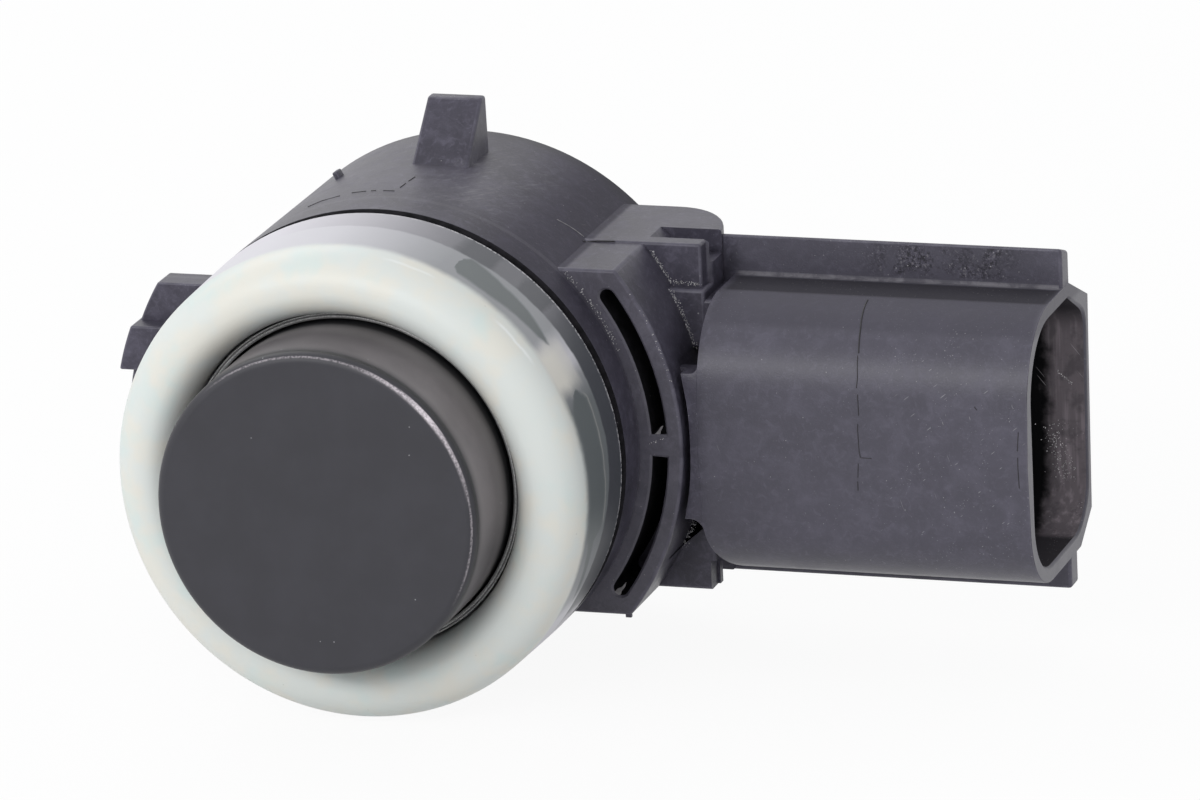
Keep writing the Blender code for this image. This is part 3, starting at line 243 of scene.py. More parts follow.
BAND_PALE = ((-180.0, 1.0), (-46.0, 1.0), (-38.0, 0.7), (-35.0, 0.06), (-30.0, 0.0), (31.0, 0.0),
             (37.0, 0.06), (41.0, 0.15), (42.0, 0.03), (49.5, 0.04), (50.5, 0.13), (56.5, 0.12),
             (57.5, 0.02), (65.5, 0.03), (67.0, 0.17), (80.0, 0.42), (95.0, 0.68), (112.0, 0.97),
             (180.0, 1.0))
COURSE_REACH = 12.0

# Camera, as fitted to the photograph
CAMERA_AZIMUTH = 18.805
CAMERA_ELEVATION = 17.115
CAMERA_ROLL = -2.746
CAMERA_PLACE = (13.160 * MM, 5.341 * MM, 417.54 * MM)
CAMERA_LENS = 272.01
CAMERA_SENSOR = 36.0
CAMERA_NEAR = 0.01

AXES = {
    "X": lambda u, v, w: (w, u, v),
    "Y": lambda u, v, w: (u, w, v),
    "Z": lambda u, v, w: (u, v, w),
}


# Shapes

def add_mesh(name, points, faces, edges=()):
    """A new object from points, faces and bare edges, its faces turned outwards."""
    mesh = bpy.data.meshes.new(name)
    mesh.from_pydata(points, edges, faces)
    work = bmesh.new()
    work.from_mesh(mesh)
    bmesh.ops.recalc_face_normals(work, faces=work.faces)
    work.to_mesh(mesh)
    work.free()
    item = bpy.data.objects.new(name, mesh)
    bpy.context.scene.collection.objects.link(item)
    return item


def arc(radius, start, stop, steps=ARC_STEPS, centre=(0.0, 0.0), second=None):
    """Points on an arc, angles in degrees; a second radius makes it an ellipse."""
    points = []
    for index in range(steps + 1):
        angle = math.radians(start + (stop - start) * index / steps)
        points.append((centre[0] + radius * math.cos(angle),
                       centre[1] + (second or radius) * math.sin(angle)))
    return points


def softened(outline, radius):
    """The outline with each of its sharp corners rounded."""
    points = []
    count = len(outline)
    for index in range(count):
        before = Vector(outline[index - 1])
        here = Vector(outline[index])
        after = Vector(outline[(index + 1) % count])
        back = before - here
        ahead = after - here
        turn = math.pi - back.angle(ahead)
        if turn < math.radians(EDGE_ANGLE):
            points.append(tuple(here))
            continue
        reach = min(radius, 0.45 * back.length, 0.45 * ahead.length)
        first = here + back.normalized() * reach
        last = here + ahead.normalized() * reach
        for step in range(CORNER_STEPS + 1):
            share = step / CORNER_STEPS
            point = first * (1.0 - share) ** 2 + here * 2.0 * share * (1.0 - share) + last * share ** 2
            points.append(tuple(point))
    return points


def turned(name, profile):
    """A closed profile of radius and depth, turned about the sensor's axis."""
    points = []
    rings = []
    for radius, depth in profile:
        if radius == 0.0:
            rings.append([len(points)] * TURN_STEPS)
            points.append((0.0, depth, 0.0))
            continue
        rings.append(list(range(len(points), len(points) + TURN_STEPS)))
        for index in range(TURN_STEPS):
            angle = math.tau * index / TURN_STEPS
            points.append((radius * math.cos(angle), depth, radius * math.sin(angle)))
    faces = []
    for index, ring in enumerate(rings):
        following = rings[(index + 1) % len(rings)]
        for step in range(TURN_STEPS):
            after = (step + 1) % TURN_STEPS
            face = list(dict.fromkeys([ring[step], following[step], following[after], ring[after]]))
            if len(face) > 2:
                faces.append(face)
    return add_mesh(name, points, faces)


def loft(name, sections, along):
    """Outlines of equal length joined one after another; each comes with its level."""
    place = AXES[along]
    points = []
    faces = []
    count = len(sections[0][1])
    for level, outline in sections:
        points += [place(u, v, level) for u, v in outline]
    for index in range(len(sections) - 1):
        low = index * count
        for step in range(count):
            after = (step + 1) % count
            faces.append((low + step, low + after, low + count + after, low + count + step))
    faces.append(tuple(range(count)))
    faces.append(tuple(range(len(points) - count, len(points))))
    return add_mesh(name, points, faces)


def prism(name, outline, low, high, along):
    return loft(name, [(low, outline), (high, outline)], along)


def block(name, low, high):
    outline = [(low[0], low[1]), (high[0], low[1]), (high[0], high[1]), (low[0], high[1])]
    return prism(name, outline, low[2], high[2], "Z")


def settle(item):
    """Turns what the modifiers make into the object's plain mesh."""
    graph = bpy.context.evaluated_depsgraph_get()
    mesh = bpy.data.meshes.new_from_object(item.evaluated_get(graph))
    item.modifiers.clear()
    old = item.data
    item.data = mesh
    bpy.data.meshes.remove(old)
    return item


def dressed(item, *finishes):
    for finish in finishes:
        item.data.materials.append(finish)
    return item


def rounded(item, width, steps=EDGE_STEPS):
    """Rounds the edges; the new strips take the object's last material."""
    bevel = item.modifiers.new("rounding", "BEVEL")
    bevel.width = width
    bevel.segments = steps
    bevel.limit_method = "ANGLE"
    bevel.angle_limit = math.radians(EDGE_ANGLE)
    bevel.use_clamp_overlap = True
    bevel.material = len(item.data.materials) - 1
    return settle(item)


def combine(base, tools, operation):
    """Adds or cuts tools one after another; bare ones take the base's materials, and all are then gone."""
    for tool in tools:
        if not tool.data.materials:
            dressed(tool, *base.data.materials)
        step = base.modifiers.new("combine", "BOOLEAN")
        step.operation = operation
        step.solver = "EXACT"
        step.object = tool
        weld = base.modifiers.new("weld", "WELD")
        weld.merge_threshold = WELD_REACH
        settle(base)
        if not base.data.polygons:
            raise RuntimeError(tool.name + " left nothing of " + base.name)
        bpy.data.objects.remove(tool)
    return base


def smooth(item):
    """Smooth shading with the large faces kept flat."""
    item.data.shade_smooth()
    item.data.set_sharp_from_angle(angle=math.radians(SHARP_ANGLE))
    weigh = item.modifiers.new("flatten", "WEIGHTED_NORMAL")
    weigh.keep_sharp = True
    weigh.weight = FLAT_WEIGHT
    return settle(item)


def finished(item, slot, *nodes):
    """Hands a piece to the frame: it rides on the body and stands for the named nodes."""
    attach(item, "root")
    if nodes:
        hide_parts(*nodes)
    return item


# Materials

def add_node(tree, kind, settings=None, inputs=None, output=0):
    """Adds a node of any kind, its settings first, then its values and links; gives one of its outputs."""
    made = tree.nodes.new(kind)
    for key, value in (settings or {}).items():
        if key == "ramp":
            stops = made.color_ramp.elements
            while len(stops) < len(value):
                stops.new(0.5)
            for stop, (position, colour) in zip(stops, value):
                stop.position = position
                stop.color = colour
        else:
            setattr(made, key, value)
    for key, value in (inputs or {}).items():
        if isinstance(value, bpy.types.NodeSocket):
            tree.links.new(value, made.inputs[key])
        else:
            made.inputs[key].default_value = value
    return made.outputs[output] if made.outputs else None


def toned(tone, factor, lift=0.0):
    """A tone made darker or lighter."""
    return tuple(min(1.0, factor * part + lift) for part in tone)


def maths(operation, swapped=False):
    """A method that adds a Math node for a signal and a second value; swapped, the value comes first."""
    def join(self, other):
        values = (other, self) if swapped else (self, other)
        return self.finish.node("ShaderNodeMath", {"operation": operation}, dict(enumerate(values)))
    return join


class Signal:
    """A value in a material; arithmetic on it adds Math nodes, and | takes the larger value."""
    __add__ = maths("ADD")
    __radd__ = maths("ADD", True)
    __sub__ = maths("SUBTRACT")
    __rsub__ = maths("SUBTRACT", True)
    __mul__ = maths("MULTIPLY")
    __rmul__ = maths("MULTIPLY", True)
    __truediv__ = maths("DIVIDE")
    __or__ = maths("MAXIMUM")

    def __init__(self, finish, socket):
        self.finish = finish
        self.socket = socket

    def band(self, low, high, soft):
        """One between two values, fading to nothing over a soft border."""
        rise = self.finish.step(self, low - soft, low + soft)
        fall = self.finish.step(self, high - soft, high + soft)
        return rise * (1.0 - fall)


class Finish:
    """One material in the making; its sizes are in millimetres."""

    def __init__(self, name, world=None):
        self.material = world or bpy.data.materials.new(name)
        self.material.use_nodes = True
        self.tree = self.material.node_tree
        self.tree.nodes.clear()
        if world is None:
            self.coords = self.node("ShaderNodeTexCoord", output="Object")

    def node(self, kind, settings=None, inputs=None, output=0):
        """Adds a node of any kind: its settings first, then its values and links."""
        plain = {key: value.socket if isinstance(value, Signal) else value
                 for key, value in (inputs or {}).items()}
        socket = add_node(self.tree, kind, settings, plain, output)
        return None if socket is None else Signal(self, socket)

    def mapped(self, stretch=(1.0, 1.0, 1.0), turn=(0.0, 0.0, 0.0)):
        """Coordinates that stretch a pattern along the axes of a turned frame."""
        turn = tuple(math.radians(angle) for angle in turn)
        return self.node("ShaderNodeMapping", {"vector_type": "TEXTURE"},
                         {"Vector": self.coords, "Rotation": turn, "Scale": stretch})

    def axis(self, name):
        return self.node("ShaderNodeSeparateXYZ", None, {0: self.coords}, name)

    def place(self):
        """Millimetres across, in depth and up."""
        return [self.axis(name) / MM for name in "XYZ"]

    def radius(self, across, up):
        """Distance from the sensor's axis."""
        flat = self.node("ShaderNodeCombineXYZ", None, {0: across, 2: up})
        return self.node("ShaderNodeVectorMath", {"operation": "LENGTH"}, {0: flat}, 1)

    def noise(self, size, detail=3.0, rough=0.6, where=None, distortion=0.0):
        """Noise from nothing to one, with features about this size."""
        return self.node("ShaderNodeTexNoise", {"noise_dimensions": "3D"},
                         {"Vector": where or self.coords, "Scale": 1.0 / (size * MM), "Detail": detail,
                          "Roughness": rough, "Distortion": distortion}, "Fac")

    def cells(self, size, where=None, output="Distance"):
        return self.node("ShaderNodeTexVoronoi", {"feature": "F1"},
                         {"Vector": where or self.coords, "Scale": 1.0 / (size * MM)}, output)

    def step(self, value, low, high):
        """Smooth rise from nothing at low to one at high."""
        return self.node("ShaderNodeMapRange", {"interpolation_type": "SMOOTHSTEP", "clamp": True},
                         {"Value": value, "From Min": low, "From Max": high, "To Min": 0.0, "To Max": 1.0})

    def specks(self, spacing, size, share, where=None):
        """Round specks on a share of evenly spread places."""
        near = self.cells(spacing, where)
        chance = self.node("ShaderNodeSeparateColor", None,
                           {0: self.cells(spacing, where, "Color")}, "Red")
        radius = size / spacing
        return (1.0 - self.step(near, 0.6 * radius, radius)) * self.step(chance, 1.0 - share, 1.001 - share)

    def scratches(self, length, width, turn, share):
        """Short dashes: specks drawn out along one direction."""
        return self.specks(8.0 * width, width, share, self.mapped((length / width, 1.0, 1.0), turn))

    def streaks(self, length, width, turn):
        """Soft brushed streaks along one direction."""
        drawn = self.mapped((length / width, 1.0, 1.0), turn)
        return self.step(self.noise(width, 2.0, where=drawn), 0.45, 0.75)

    def round_angle(self):
        """Degrees round the sensor's axis, from the socket's side upwards."""
        return self.node("ShaderNodeMath", {"operation": "ARCTAN2"},
                         {0: self.axis("Z"), 1: self.axis("X")}) * (180.0 / math.pi)

    def course(self, angle, stops, reach):
        """A value that runs in straight lines between stops of angle and value, up to reach."""
        ramp = [((place + 180.0) / 360.0, (value / reach,) * 3 + (1.0,)) for place, value in stops]
        return self.node("ShaderNodeValToRGB", {"ramp": ramp}, {0: (angle + 180.0) / 360.0}) * reach

    def mix(self, factor, first, second):
        def colour(value):
            return value if isinstance(value, Signal) else (*value, 1.0)
        return self.node("ShaderNodeMix", {"data_type": "RGBA", "blend_type": "MIX"},
                         {0: factor, 6: colour(first), 7: colour(second)}, 2)

    def layers(self, colour, *coats):
        """Lays coats over a colour, each of them a share and a tone."""
        for share, tone in coats:
            colour = self.mix(share, colour, tone)
        return colour

    def bump(self, height, distance, strength):
        return self.node("ShaderNodeBump", None,
                         {"Strength": strength, "Distance": distance * MM, "Height": height})

    def principled(self, **sockets):
        """Closes the material with its shader; names are socket names with underscores."""
        shader = self.node("ShaderNodeBsdfPrincipled", None,
                           {key.replace("_", " "): value for key, value in sockets.items()})
        self.node("ShaderNodeOutputMaterial", None, {"Surface": shader})
        return self.material


def moulded_plastic(name, tone, dust=1.0, wear=0.0, marks=None):
    """Dark satin plastic with a fine grain, a grey haze, dust, short scratches and soft light edges: worn
    chips and a painted highlight.
    """
    finish = Finish(name)
    grain = finish.noise(0.08, 2.0)
    cloud = finish.noise(3.4, 4.0)
    haze = finish.noise(1.3, 4.0, 0.68, distortion=0.5)
    mottle = finish.noise(0.4, 4.0, 0.7, distortion=0.8)
    brushed = finish.streaks(4.0, 0.22, (0.0, 14.0, 20.0)) * finish.step(cloud, 0.45, 0.62)
    fine_dust = finish.specks(0.4, 0.03, 0.3 * dust)
    coarse_dust = finish.specks(1.5, 0.055, 0.16 * dust, finish.mapped(turn=(20.0, 40.0, 10.0)))
    dashes = (finish.scratches(0.7, 0.02, (0.0, 24.0, 30.0), 0.05 * dust)
              | finish.scratches(0.5, 0.018, (0.0, 66.0, -22.0), 0.05 * dust))
    light = toned(tone, 1.7, 0.014)
    dark = toned(tone, 0.7)
    colour = finish.layers(
        dark,
        (finish.step(cloud, 0.34, 0.68), tone),
        (finish.step(haze, 0.44, 0.74) * 0.5, light),
        (finish.step(mottle, 0.5, 0.7) * 0.5, light),
        (finish.step(1.0 - mottle, 0.52, 0.7) * 0.5, dark),
        (finish.step(grain, 0.5, 0.8) * 0.2, light),
        (brushed * 0.22, light))
    gloss = 0.42 + finish.step(haze, 0.45, 0.8) * 0.1 - grain * 0.05
    if marks:
        colour, dull = marks(finish, colour, haze)
        gloss = gloss + dull
    colour = finish.layers(
        colour,
        (dashes * 0.28, (0.26, 0.26, 0.27)),
        ((fine_dust | coarse_dust) * 0.55, (0.38, 0.37, 0.38)))
    # Edges: worn chips and broad lighter runs, the runs a painted highlight
    if wear:
        chips = finish.noise(0.11, 3.0, 0.7)
        runs = finish.noise(1.6, 2.0)
        worn = finish.step(chips, 0.6, 0.7) * finish.step(runs, 0.5, 0.68)
        colour = finish.layers(
            colour,
            (finish.step(runs, 0.3, 0.62) * (0.55 * wear), toned(tone, 1.7, 0.035)),
            (worn * (0.7 * wear), (0.3, 0.3, 0.31)))
    height = grain * 0.6 + cloud * 0.4 - dashes * 0.4
    return finish.principled(Base_Color=colour, Roughness=gloss, Specular_IOR_Level=0.34,
                             Normal=finish.bump(height, 0.02, 0.8))


def housing_marks(finish, colour, haze):
    """The places on the housing with painted shade and painted highlights, or scuffed, gritty or dusty;
    gives also where it is duller.
    """
    across, depth, up = finish.place()
    angle = finish.round_angle()
    radius = finish.radius(across, up)
    hazy = finish.step(haze, 0.4, 0.6)
    # The round body: painted shade beside the lug, a streaky painted highlight above it; the bracket's front
    # face lighter
    shell = radius.band(11.4, 11.9, 0.1)
    painted_shade_beside_lug = angle.band(20.0, 66.0, 12.0) * shell
    painted_sheen = finish.streaks(1.1, 0.16, (0.0, 8.0, 62.0)) * hazy
    brow_highlight = angle.band(66.0, 84.0, 8.0) * depth.band(13.5, 22.0, 2.0) * shell
    rear = finish.step(depth, 23.2, 24.6) * shell
    front = depth.band(12.7, 13.05, 0.04) * radius.band(11.6, 13.8, 0.1)
    # Gritty far half of the upper rail
    rail = across.band(21.2, 28.2, 1.2) * up.band(6.7, 8.6, 0.3) * depth.band(19.5, 22.0, 0.3)
    patch = rail * finish.step(haze, 0.36, 0.56)
    grit = finish.noise(0.16, 3.0, 0.8)
    # Top of the socket with painted shade, a painted shadow band in front of the rail and a painted
    # highlight on the ledge at its foot, its scuffed end and the rim of its mouth
    # Painted shade over the socket's top
    top = across.band(14.6, 30.4, 0.3) * up.band(5.5, 6.6, 0.2)
    flat = top * up.band(6.4, 6.6, 0.02)
    painted_shadow_band = flat * depth.band(17.4, 19.75, 0.2)
    ledge = flat * depth.band(19.85, 20.6, 0.12)
    end = across.band(24.0, 31.0, 3.0) * up.band(-7.0, 6.0, 0.8)
    scuffs = (finish.scratches(0.4, 0.016, (0.0, 74.0, 12.0), 0.12)
              | finish.scratches(0.3, 0.016, (0.0, 20.0, 40.0), 0.3)
              | finish.scratches(0.22, 0.02, (0.0, -38.0, 10.0), 0.3)
              | finish.specks(0.26, 0.026, 0.35))
    socket = across.band(14.6, 31.0, 0.4)
    bits = finish.specks(0.3, 0.022, 0.3) | finish.scratches(0.4, 0.016, (30.0, 40.0, 60.0), 0.2)
    rim = finish.step(across, 30.36, 30.42)
    colour = finish.layers(
        colour,
        # Painted shade beside the lug and a streaky painted highlight above it
        (painted_shade_beside_lug * 0.5, (0.020, 0.017, 0.031)),
        (brow_highlight * (painted_sheen * 0.6 + haze * 0.2), (0.19, 0.185, 0.2)),
        (patch * finish.step(grit, 0.56, 0.66) * 0.6, (0.2, 0.19, 0.2)),
        (patch * finish.step(1.0 - grit, 0.48, 0.56) * 0.9, (0.010, 0.009, 0.012)),
        (patch * finish.specks(0.2, 0.036, 0.5) * 0.8, (0.42, 0.41, 0.43)),
        # Painted shade on the socket's top, a painted shadow band and a painted highlight on the ledge
        (top * 0.6, (0.026, 0.024, 0.034)),
        (painted_shadow_band * 0.7, (0.014, 0.013, 0.018)),
        (ledge * (0.3 + hazy * 0.6), (0.3, 0.29, 0.31)),
        (end * scuffs * 0.75, (0.38, 0.38, 0.39)),
        (socket * bits * 0.55, (0.3, 0.3, 0.32)),
        (socket * (1.0 - (painted_shadow_band | patch * 0.8)) * 0.42, (0.092, 0.088, 0.112)),
        (rim * (0.35 + haze * 0.5), (0.15, 0.145, 0.16)),
        (front * (0.2 + haze * 0.4), (0.115, 0.11, 0.13)),
        (rear * 0.5, (0.024, 0.023, 0.027)))
    return colour, (top * 0.34) | (painted_shade_beside_lug * 0.3) | (painted_shadow_band * 0.5)


def shaded_finish():
    """The plastic where it lies in the gap beside the ring: nearly black with painted shade, dust specks and
    a dull finish.
    """
    finish = Finish("gap_painted_shade")
    cloud = finish.noise(0.5)
    colour = finish.layers(
        (0.006, 0.006, 0.007),
        (finish.step(cloud, 0.3, 0.7), (0.016, 0.015, 0.018)),
        (finish.specks(0.3, 0.03, 0.3) * 0.5, (0.2, 0.2, 0.2)))
    return finish.principled(Base_Color=colour, Roughness=0.8 + cloud * 0.15, Specular_IOR_Level=0.08,
                             Normal=finish.bump(cloud, 0.01, 0.5))


def hollow_finish():
    """The socket's inside: brown and scratched at the mouth, nearly black with painted shade further in."""
    finish = Finish("hollow_plastic")
    across, depth, up = finish.place()
    cloud = finish.noise(1.1, 4.0, 0.65)
    runs = finish.streaks(5.0, 0.3, (0.0, 90.0, 0.0))
    dust = finish.specks(0.24, 0.03, 0.35) * finish.step(cloud, 0.42, 0.6) * up.band(-6.0, -1.6, 1.0)
    marks = finish.scratches(0.8, 0.018, (0.0, 50.0, 0.0), 0.35)
    # Painted shade: nearly black deep inside, lighter towards the mouth, where alone the dust and marks show
    near = finish.step(across + cloud * 1.2, 28.7, 29.6)
    wall = near * depth.band(21.0, 24.3, 0.4) * up.band(-6.3, 3.8, 0.9)
    shown = finish.step(across, 27.6, 28.4)
    colour = finish.layers(
        (0.004, 0.004, 0.005),
        (near, (0.034, 0.031, 0.037)),
        (wall * (0.55 + runs * 0.45), (0.38, 0.33, 0.36)),
        (wall * finish.step(cloud, 0.48, 0.66) * 0.55, (0.09, 0.082, 0.092)),
        ((dust | marks * 0.5) * shown * 0.8, (0.8, 0.76, 0.79)))
    return finish.principled(Base_Color=colour, Roughness=0.62 + cloud * 0.15, Specular_IOR_Level=0.12,
                             Normal=finish.bump(cloud + runs * 0.3, 0.02, 0.6))


def speck_finish(name, tone):
    """Torn bits of plastic: nearly one colour, mottled."""
    finish = Finish(name)
    fine = finish.noise(0.04, 2.0)
    colour = finish.mix(finish.step(finish.noise(0.3), 0.35, 0.65), toned(tone, 0.6), tone)
    return finish.principled(Base_Color=colour, Roughness=0.5 + fine * 0.15,
                             Normal=finish.bump(fine, 0.01, 0.6))


class HousingSettings(bpy.types.PropertyGroup):
    """What a user may change on the moulded housing."""
    edge: bpy.props.FloatProperty(
        name="Edge rounding", description="Rounding of the moulded edges",
        default=0.16 * MM, min=0.02 * MM, max=0.3 * MM, unit="LENGTH", precision=5)
    colour: bpy.props.FloatVectorProperty(
        name="Plastic", description="Colour of the moulded plastic", subtype="COLOR",
        size=3, default=(0.054, 0.050, 0.071), min=0.0, max=1.0)
    dust: bpy.props.FloatProperty(
        name="Dust", description="How dusty the plastic is", subtype="FACTOR",
        default=1.0, min=0.0, max=1.5)
    # Sets the worn chips and the painted highlight on the rounded edges
    wear: bpy.props.FloatProperty(
        name="Edge wear", description="How worn the moulded edges are", subtype="FACTOR",
        default=0.8, min=0.0, max=1.0)


class RingSettings(bpy.types.PropertyGroup):
    """What a user may change on the silicone ring and the crown behind it."""
    teeth: bpy.props.IntProperty(
        name="Crown teeth", description="Teeth of the crown that the ring grips", default=12, min=6, max=24)
    milky: bpy.props.FloatVectorProperty(
        name="Milky silicone", description="Colour of the ring's front", subtype="COLOR",
        size=3, default=(0.66, 0.69, 0.665), min=0.0, max=1.0)
    dark: bpy.props.FloatVectorProperty(
        name="Clear band", description="Colour that shows through the clear band", subtype="COLOR",
        size=3, default=(0.064, 0.068, 0.079), min=0.0, max=1.0)


class CupSettings(bpy.types.PropertyGroup):
    """What a user may change on the membrane cup."""
    edge: bpy.props.FloatProperty(
        name="Cup edge", description="Rounding of the cup's front edge",
        default=0.45 * MM, min=0.1 * MM, max=0.8 * MM, unit="LENGTH", precision=5)
    colour: bpy.props.FloatVectorProperty(
        name="Paint", description="Colour of the painted cup", subtype="COLOR",
        size=3, default=(0.031, 0.0305, 0.0385), min=0.0, max=1.0)


class StageSettings(bpy.types.PropertyGroup):
    """What a user may change in the studio."""
    key: bpy.props.FloatProperty(
        name="Softboxes", description="Power of the front softbox; the rear one has half", unit="POWER",
        default=0.78, min=0.0, max=5.0)
    fill: bpy.props.FloatProperty(
        name="Fill", description="Strength of the even light from all round", default=0.74, min=0.0, max=2.0)
    shadow: bpy.props.FloatProperty(
        name="Shadow", description="How much of the shadow shows on the white floor", subtype="FACTOR",
        default=0.07, min=0.0, max=1.0)


# Housing

def body_shape():
    edge = BODY_EDGE
    profile = arc(edge, 0.0, 90.0, 4, (BODY_RADIUS - edge, BODY_REAR - edge))
    profile += [(BODY_RADIUS - RECESS_WALL, BODY_REAR), (BODY_RADIUS - RECESS_WALL, RECESS_FRONT),
                (CAVITY_RADIUS, RECESS_FRONT), (CAVITY_RADIUS, LEDGE_REAR),
                (CAVITY_RADIUS - LEDGE_WIDTH, LEDGE_REAR), (CAVITY_RADIUS - LEDGE_WIDTH, SHOULDER_REAR),
                (SHOULDER_BORE, SHOULDER_REAR), (SHOULDER_BORE, SHOULDER_FRONT),
                (CROWN_BORE, SHOULDER_FRONT), (CROWN_BORE, CROWN_BASE), (CROWN_RADIUS, CROWN_BASE),
                (CROWN_RADIUS, BODY_FRONT)]
    profile += arc(BODY_LIP, -90.0, 0.0, 8, (BODY_RADIUS - BODY_LIP, BODY_FRONT + BODY_LIP))
    return turned("housing_shell", profile)


def painted_faces(item, index, chosen):
    """Gives the faces whose middle is chosen the material of this index."""
    for face in item.data.polygons:
        if chosen(face.center):
            face.material_index = index
    return item


def moulded(item, finishes, width):
    """A part of the housing in its materials, with rounded edges."""
    return rounded(dressed(item, *finishes), width)


def slot_outline(side, grow):
    """The bracket's slot above or below the rib, wider by grow all round."""
    middle = (SLOT_INNER_RADIUS + SLOT_OUTER_RADIUS) / 2.0
    half = (SLOT_OUTER_RADIUS - SLOT_INNER_RADIUS) / 2.0 + grow
    rib = side * math.degrees((SLOT_RIB / 2.0 - grow) / middle)
    stop = side * (SLOT_END_ANGLE - math.degrees(half / middle) + math.degrees(grow / middle))
    tip = (middle * math.cos(math.radians(stop)), middle * math.sin(math.radians(stop)))
    return (arc(middle + half, rib, stop, 16) + arc(half, stop, stop + side * 180.0, 8, tip)[1:-1]
            + arc(middle - half, stop, rib, 16))


def bracket_shape(edge, finishes):
    inner = BODY_RADIUS - SINK
    end_angle = math.degrees(math.asin(BRACKET_HALF_HEIGHT / BRACKET_RADIUS))
    root_angle = math.degrees(math.asin(BRACKET_HALF_HEIGHT / inner))
    outline = arc(BRACKET_RADIUS, -end_angle, end_angle, 40) + arc(inner, root_angle, -root_angle, 40)
    bracket = moulded(prism("bracket", outline, BRACKET_FRONT, NECK_FRONT + SINK, "Y"), finishes, edge)
    levels = ((BRACKET_FRONT - OVERCUT, SLOT_FLARE), (BRACKET_FRONT + SKIN, SLOT_FLARE),
              (BRACKET_FRONT + SLOT_FLARE, 0.0), (NECK_FRONT + OVERCUT, 0.0))
    slots = []
    for side in (1.0, -1.0):
        slot = loft("slot", [(level, slot_outline(side, grow)) for level, grow in levels], "Y")
        slots.append(painted_faces(slot, 1, lambda middle: middle.y > BRACKET_FRONT + SLOT_FLARE))
    return combine(bracket, slots, "DIFFERENCE")


def neck_shape(edge, finishes):
    root = CAVITY_RADIUS - NECK_CORNER_LENGTH
    corner = arc(NECK_CORNER_LENGTH, 0.0, 90.0, 12,
                 (NECK_LENGTH - NECK_CORNER_LENGTH, NECK_REAR - NECK_CORNER_DEPTH), NECK_CORNER_DEPTH)
    lower = [(root, GUSSET_FRONT), (NECK_LENGTH, GUSSET_FRONT)] + corner + [(root, NECK_REAR)]
    neck = moulded(prism("neck", lower, NECK_BOTTOM, GUSSET_TOP, "Z"), finishes, edge)
    upper = [(root, NECK_FRONT), (BLOCK_END, NECK_FRONT), (BLOCK_END, BLOCK_REAR),
             (NECK_LENGTH, BLOCK_REAR)] + corner + [(root, NECK_REAR)]
    top = prism("neck_top", upper, GUSSET_TOP - SINK, NECK_TOP, "Z")
    combine(neck, [moulded(top, finishes, edge)], "UNION")
    before = GUSSET_FRONT - OVERCUT
    beyond = NECK_LENGTH + OVERCUT
    below = NECK_BOTTOM - OVERCUT
    tools = [block("lower_end", (BLOCK_END, before, below),
                   (beyond, LOWER_BLOCK_REAR, SOCKET_BOTTOM - THROAT_SHY)),
             block("lower_lip", (BLOCK_END + SLIDE_GAP, before, below),
                   (beyond, NECK_REAR + OVERCUT, SOCKET_BOTTOM - LOWER_END_LIP))]
    for height, side in ((NECK_TOP, 1.0), (NECK_BOTTOM, -1.0)):
        clear = height + side * OVERCUT
        floor = height - side * POCKET_DEPTH
        ramp = [(POCKET_START - POCKET_RAMP, clear), (POCKET_START, height),
                (POCKET_START + POCKET_RAMP, floor), (beyond, floor), (beyond, clear)]
        tools.append(prism("pocket", ramp, BLOCK_REAR, POCKET_REAR, "Y"))
    return combine(neck, tools + [inside_shape()], "DIFFERENCE")


def socket_outline(inset=0.0):
    """The socket in depth and height: the outside, or its hollow at some inset."""
    front = SOCKET_FRONT + inset
    rear = SOCKET_REAR - (SOCKET_REAR_WALL - SOCKET_WALL + inset if inset else 0.0)
    outline = [] if inset else [(SOCKET_FRONT - SOCKET_BULGE, (SOCKET_TOP + SOCKET_BOTTOM) / 2.0)]
    top = SOCKET_TOP - inset
    turn = SOCKET_TOP_ROUND - inset
    outline += arc(turn, 180.0, 90.0, ARC_STEPS, (front + turn, top - turn))
    outline += [(SOCKET_REAR - SOCKET_TOP_SLOPE, top), (rear, SOCKET_REAR_TOP - inset)]
    bottom = SOCKET_BOTTOM + inset
    turn = SOCKET_BOTTOM_ROUND - inset
    outline += [(rear - SOCKET_REAR_LEAN, SOCKET_REAR_BOTTOM + inset),
                (SOCKET_REAR - SOCKET_BOTTOM_SLOPE, bottom)]
    outline += arc(turn, 270.0, 180.0, ARC_STEPS, (front + turn, bottom + turn))
    return softened(outline, INNER_ROUND) if inset else outline


def socket_front_at(height):
    """Depth of the socket's front face at a height."""
    middle = (SOCKET_TOP + SOCKET_BOTTOM) / 2.0
    turn = SOCKET_TOP_ROUND if height > middle else SOCKET_BOTTOM_ROUND
    reach = (SOCKET_TOP if height > middle else SOCKET_BOTTOM) - math.copysign(turn, height - middle)
    above = abs(height - middle) - abs(reach - middle)
    if above > 0.0:
        return SOCKET_FRONT + turn - math.sqrt(turn ** 2 - above ** 2)
    return SOCKET_FRONT + SOCKET_BULGE * above / abs(reach - middle)


def side_sector(name, outer, front, rear, low, high):
    inner = BODY_RADIUS - SINK
    outline = arc(outer, 180.0 - math.degrees(math.asin(high / outer)),
                  180.0 - math.degrees(math.asin(low / outer)), 16)
    outline += [(-math.sqrt(inner ** 2 - low ** 2), low), (-math.sqrt(inner ** 2 - high ** 2), high)]
    return prism(name, outline, front, rear, "Y")


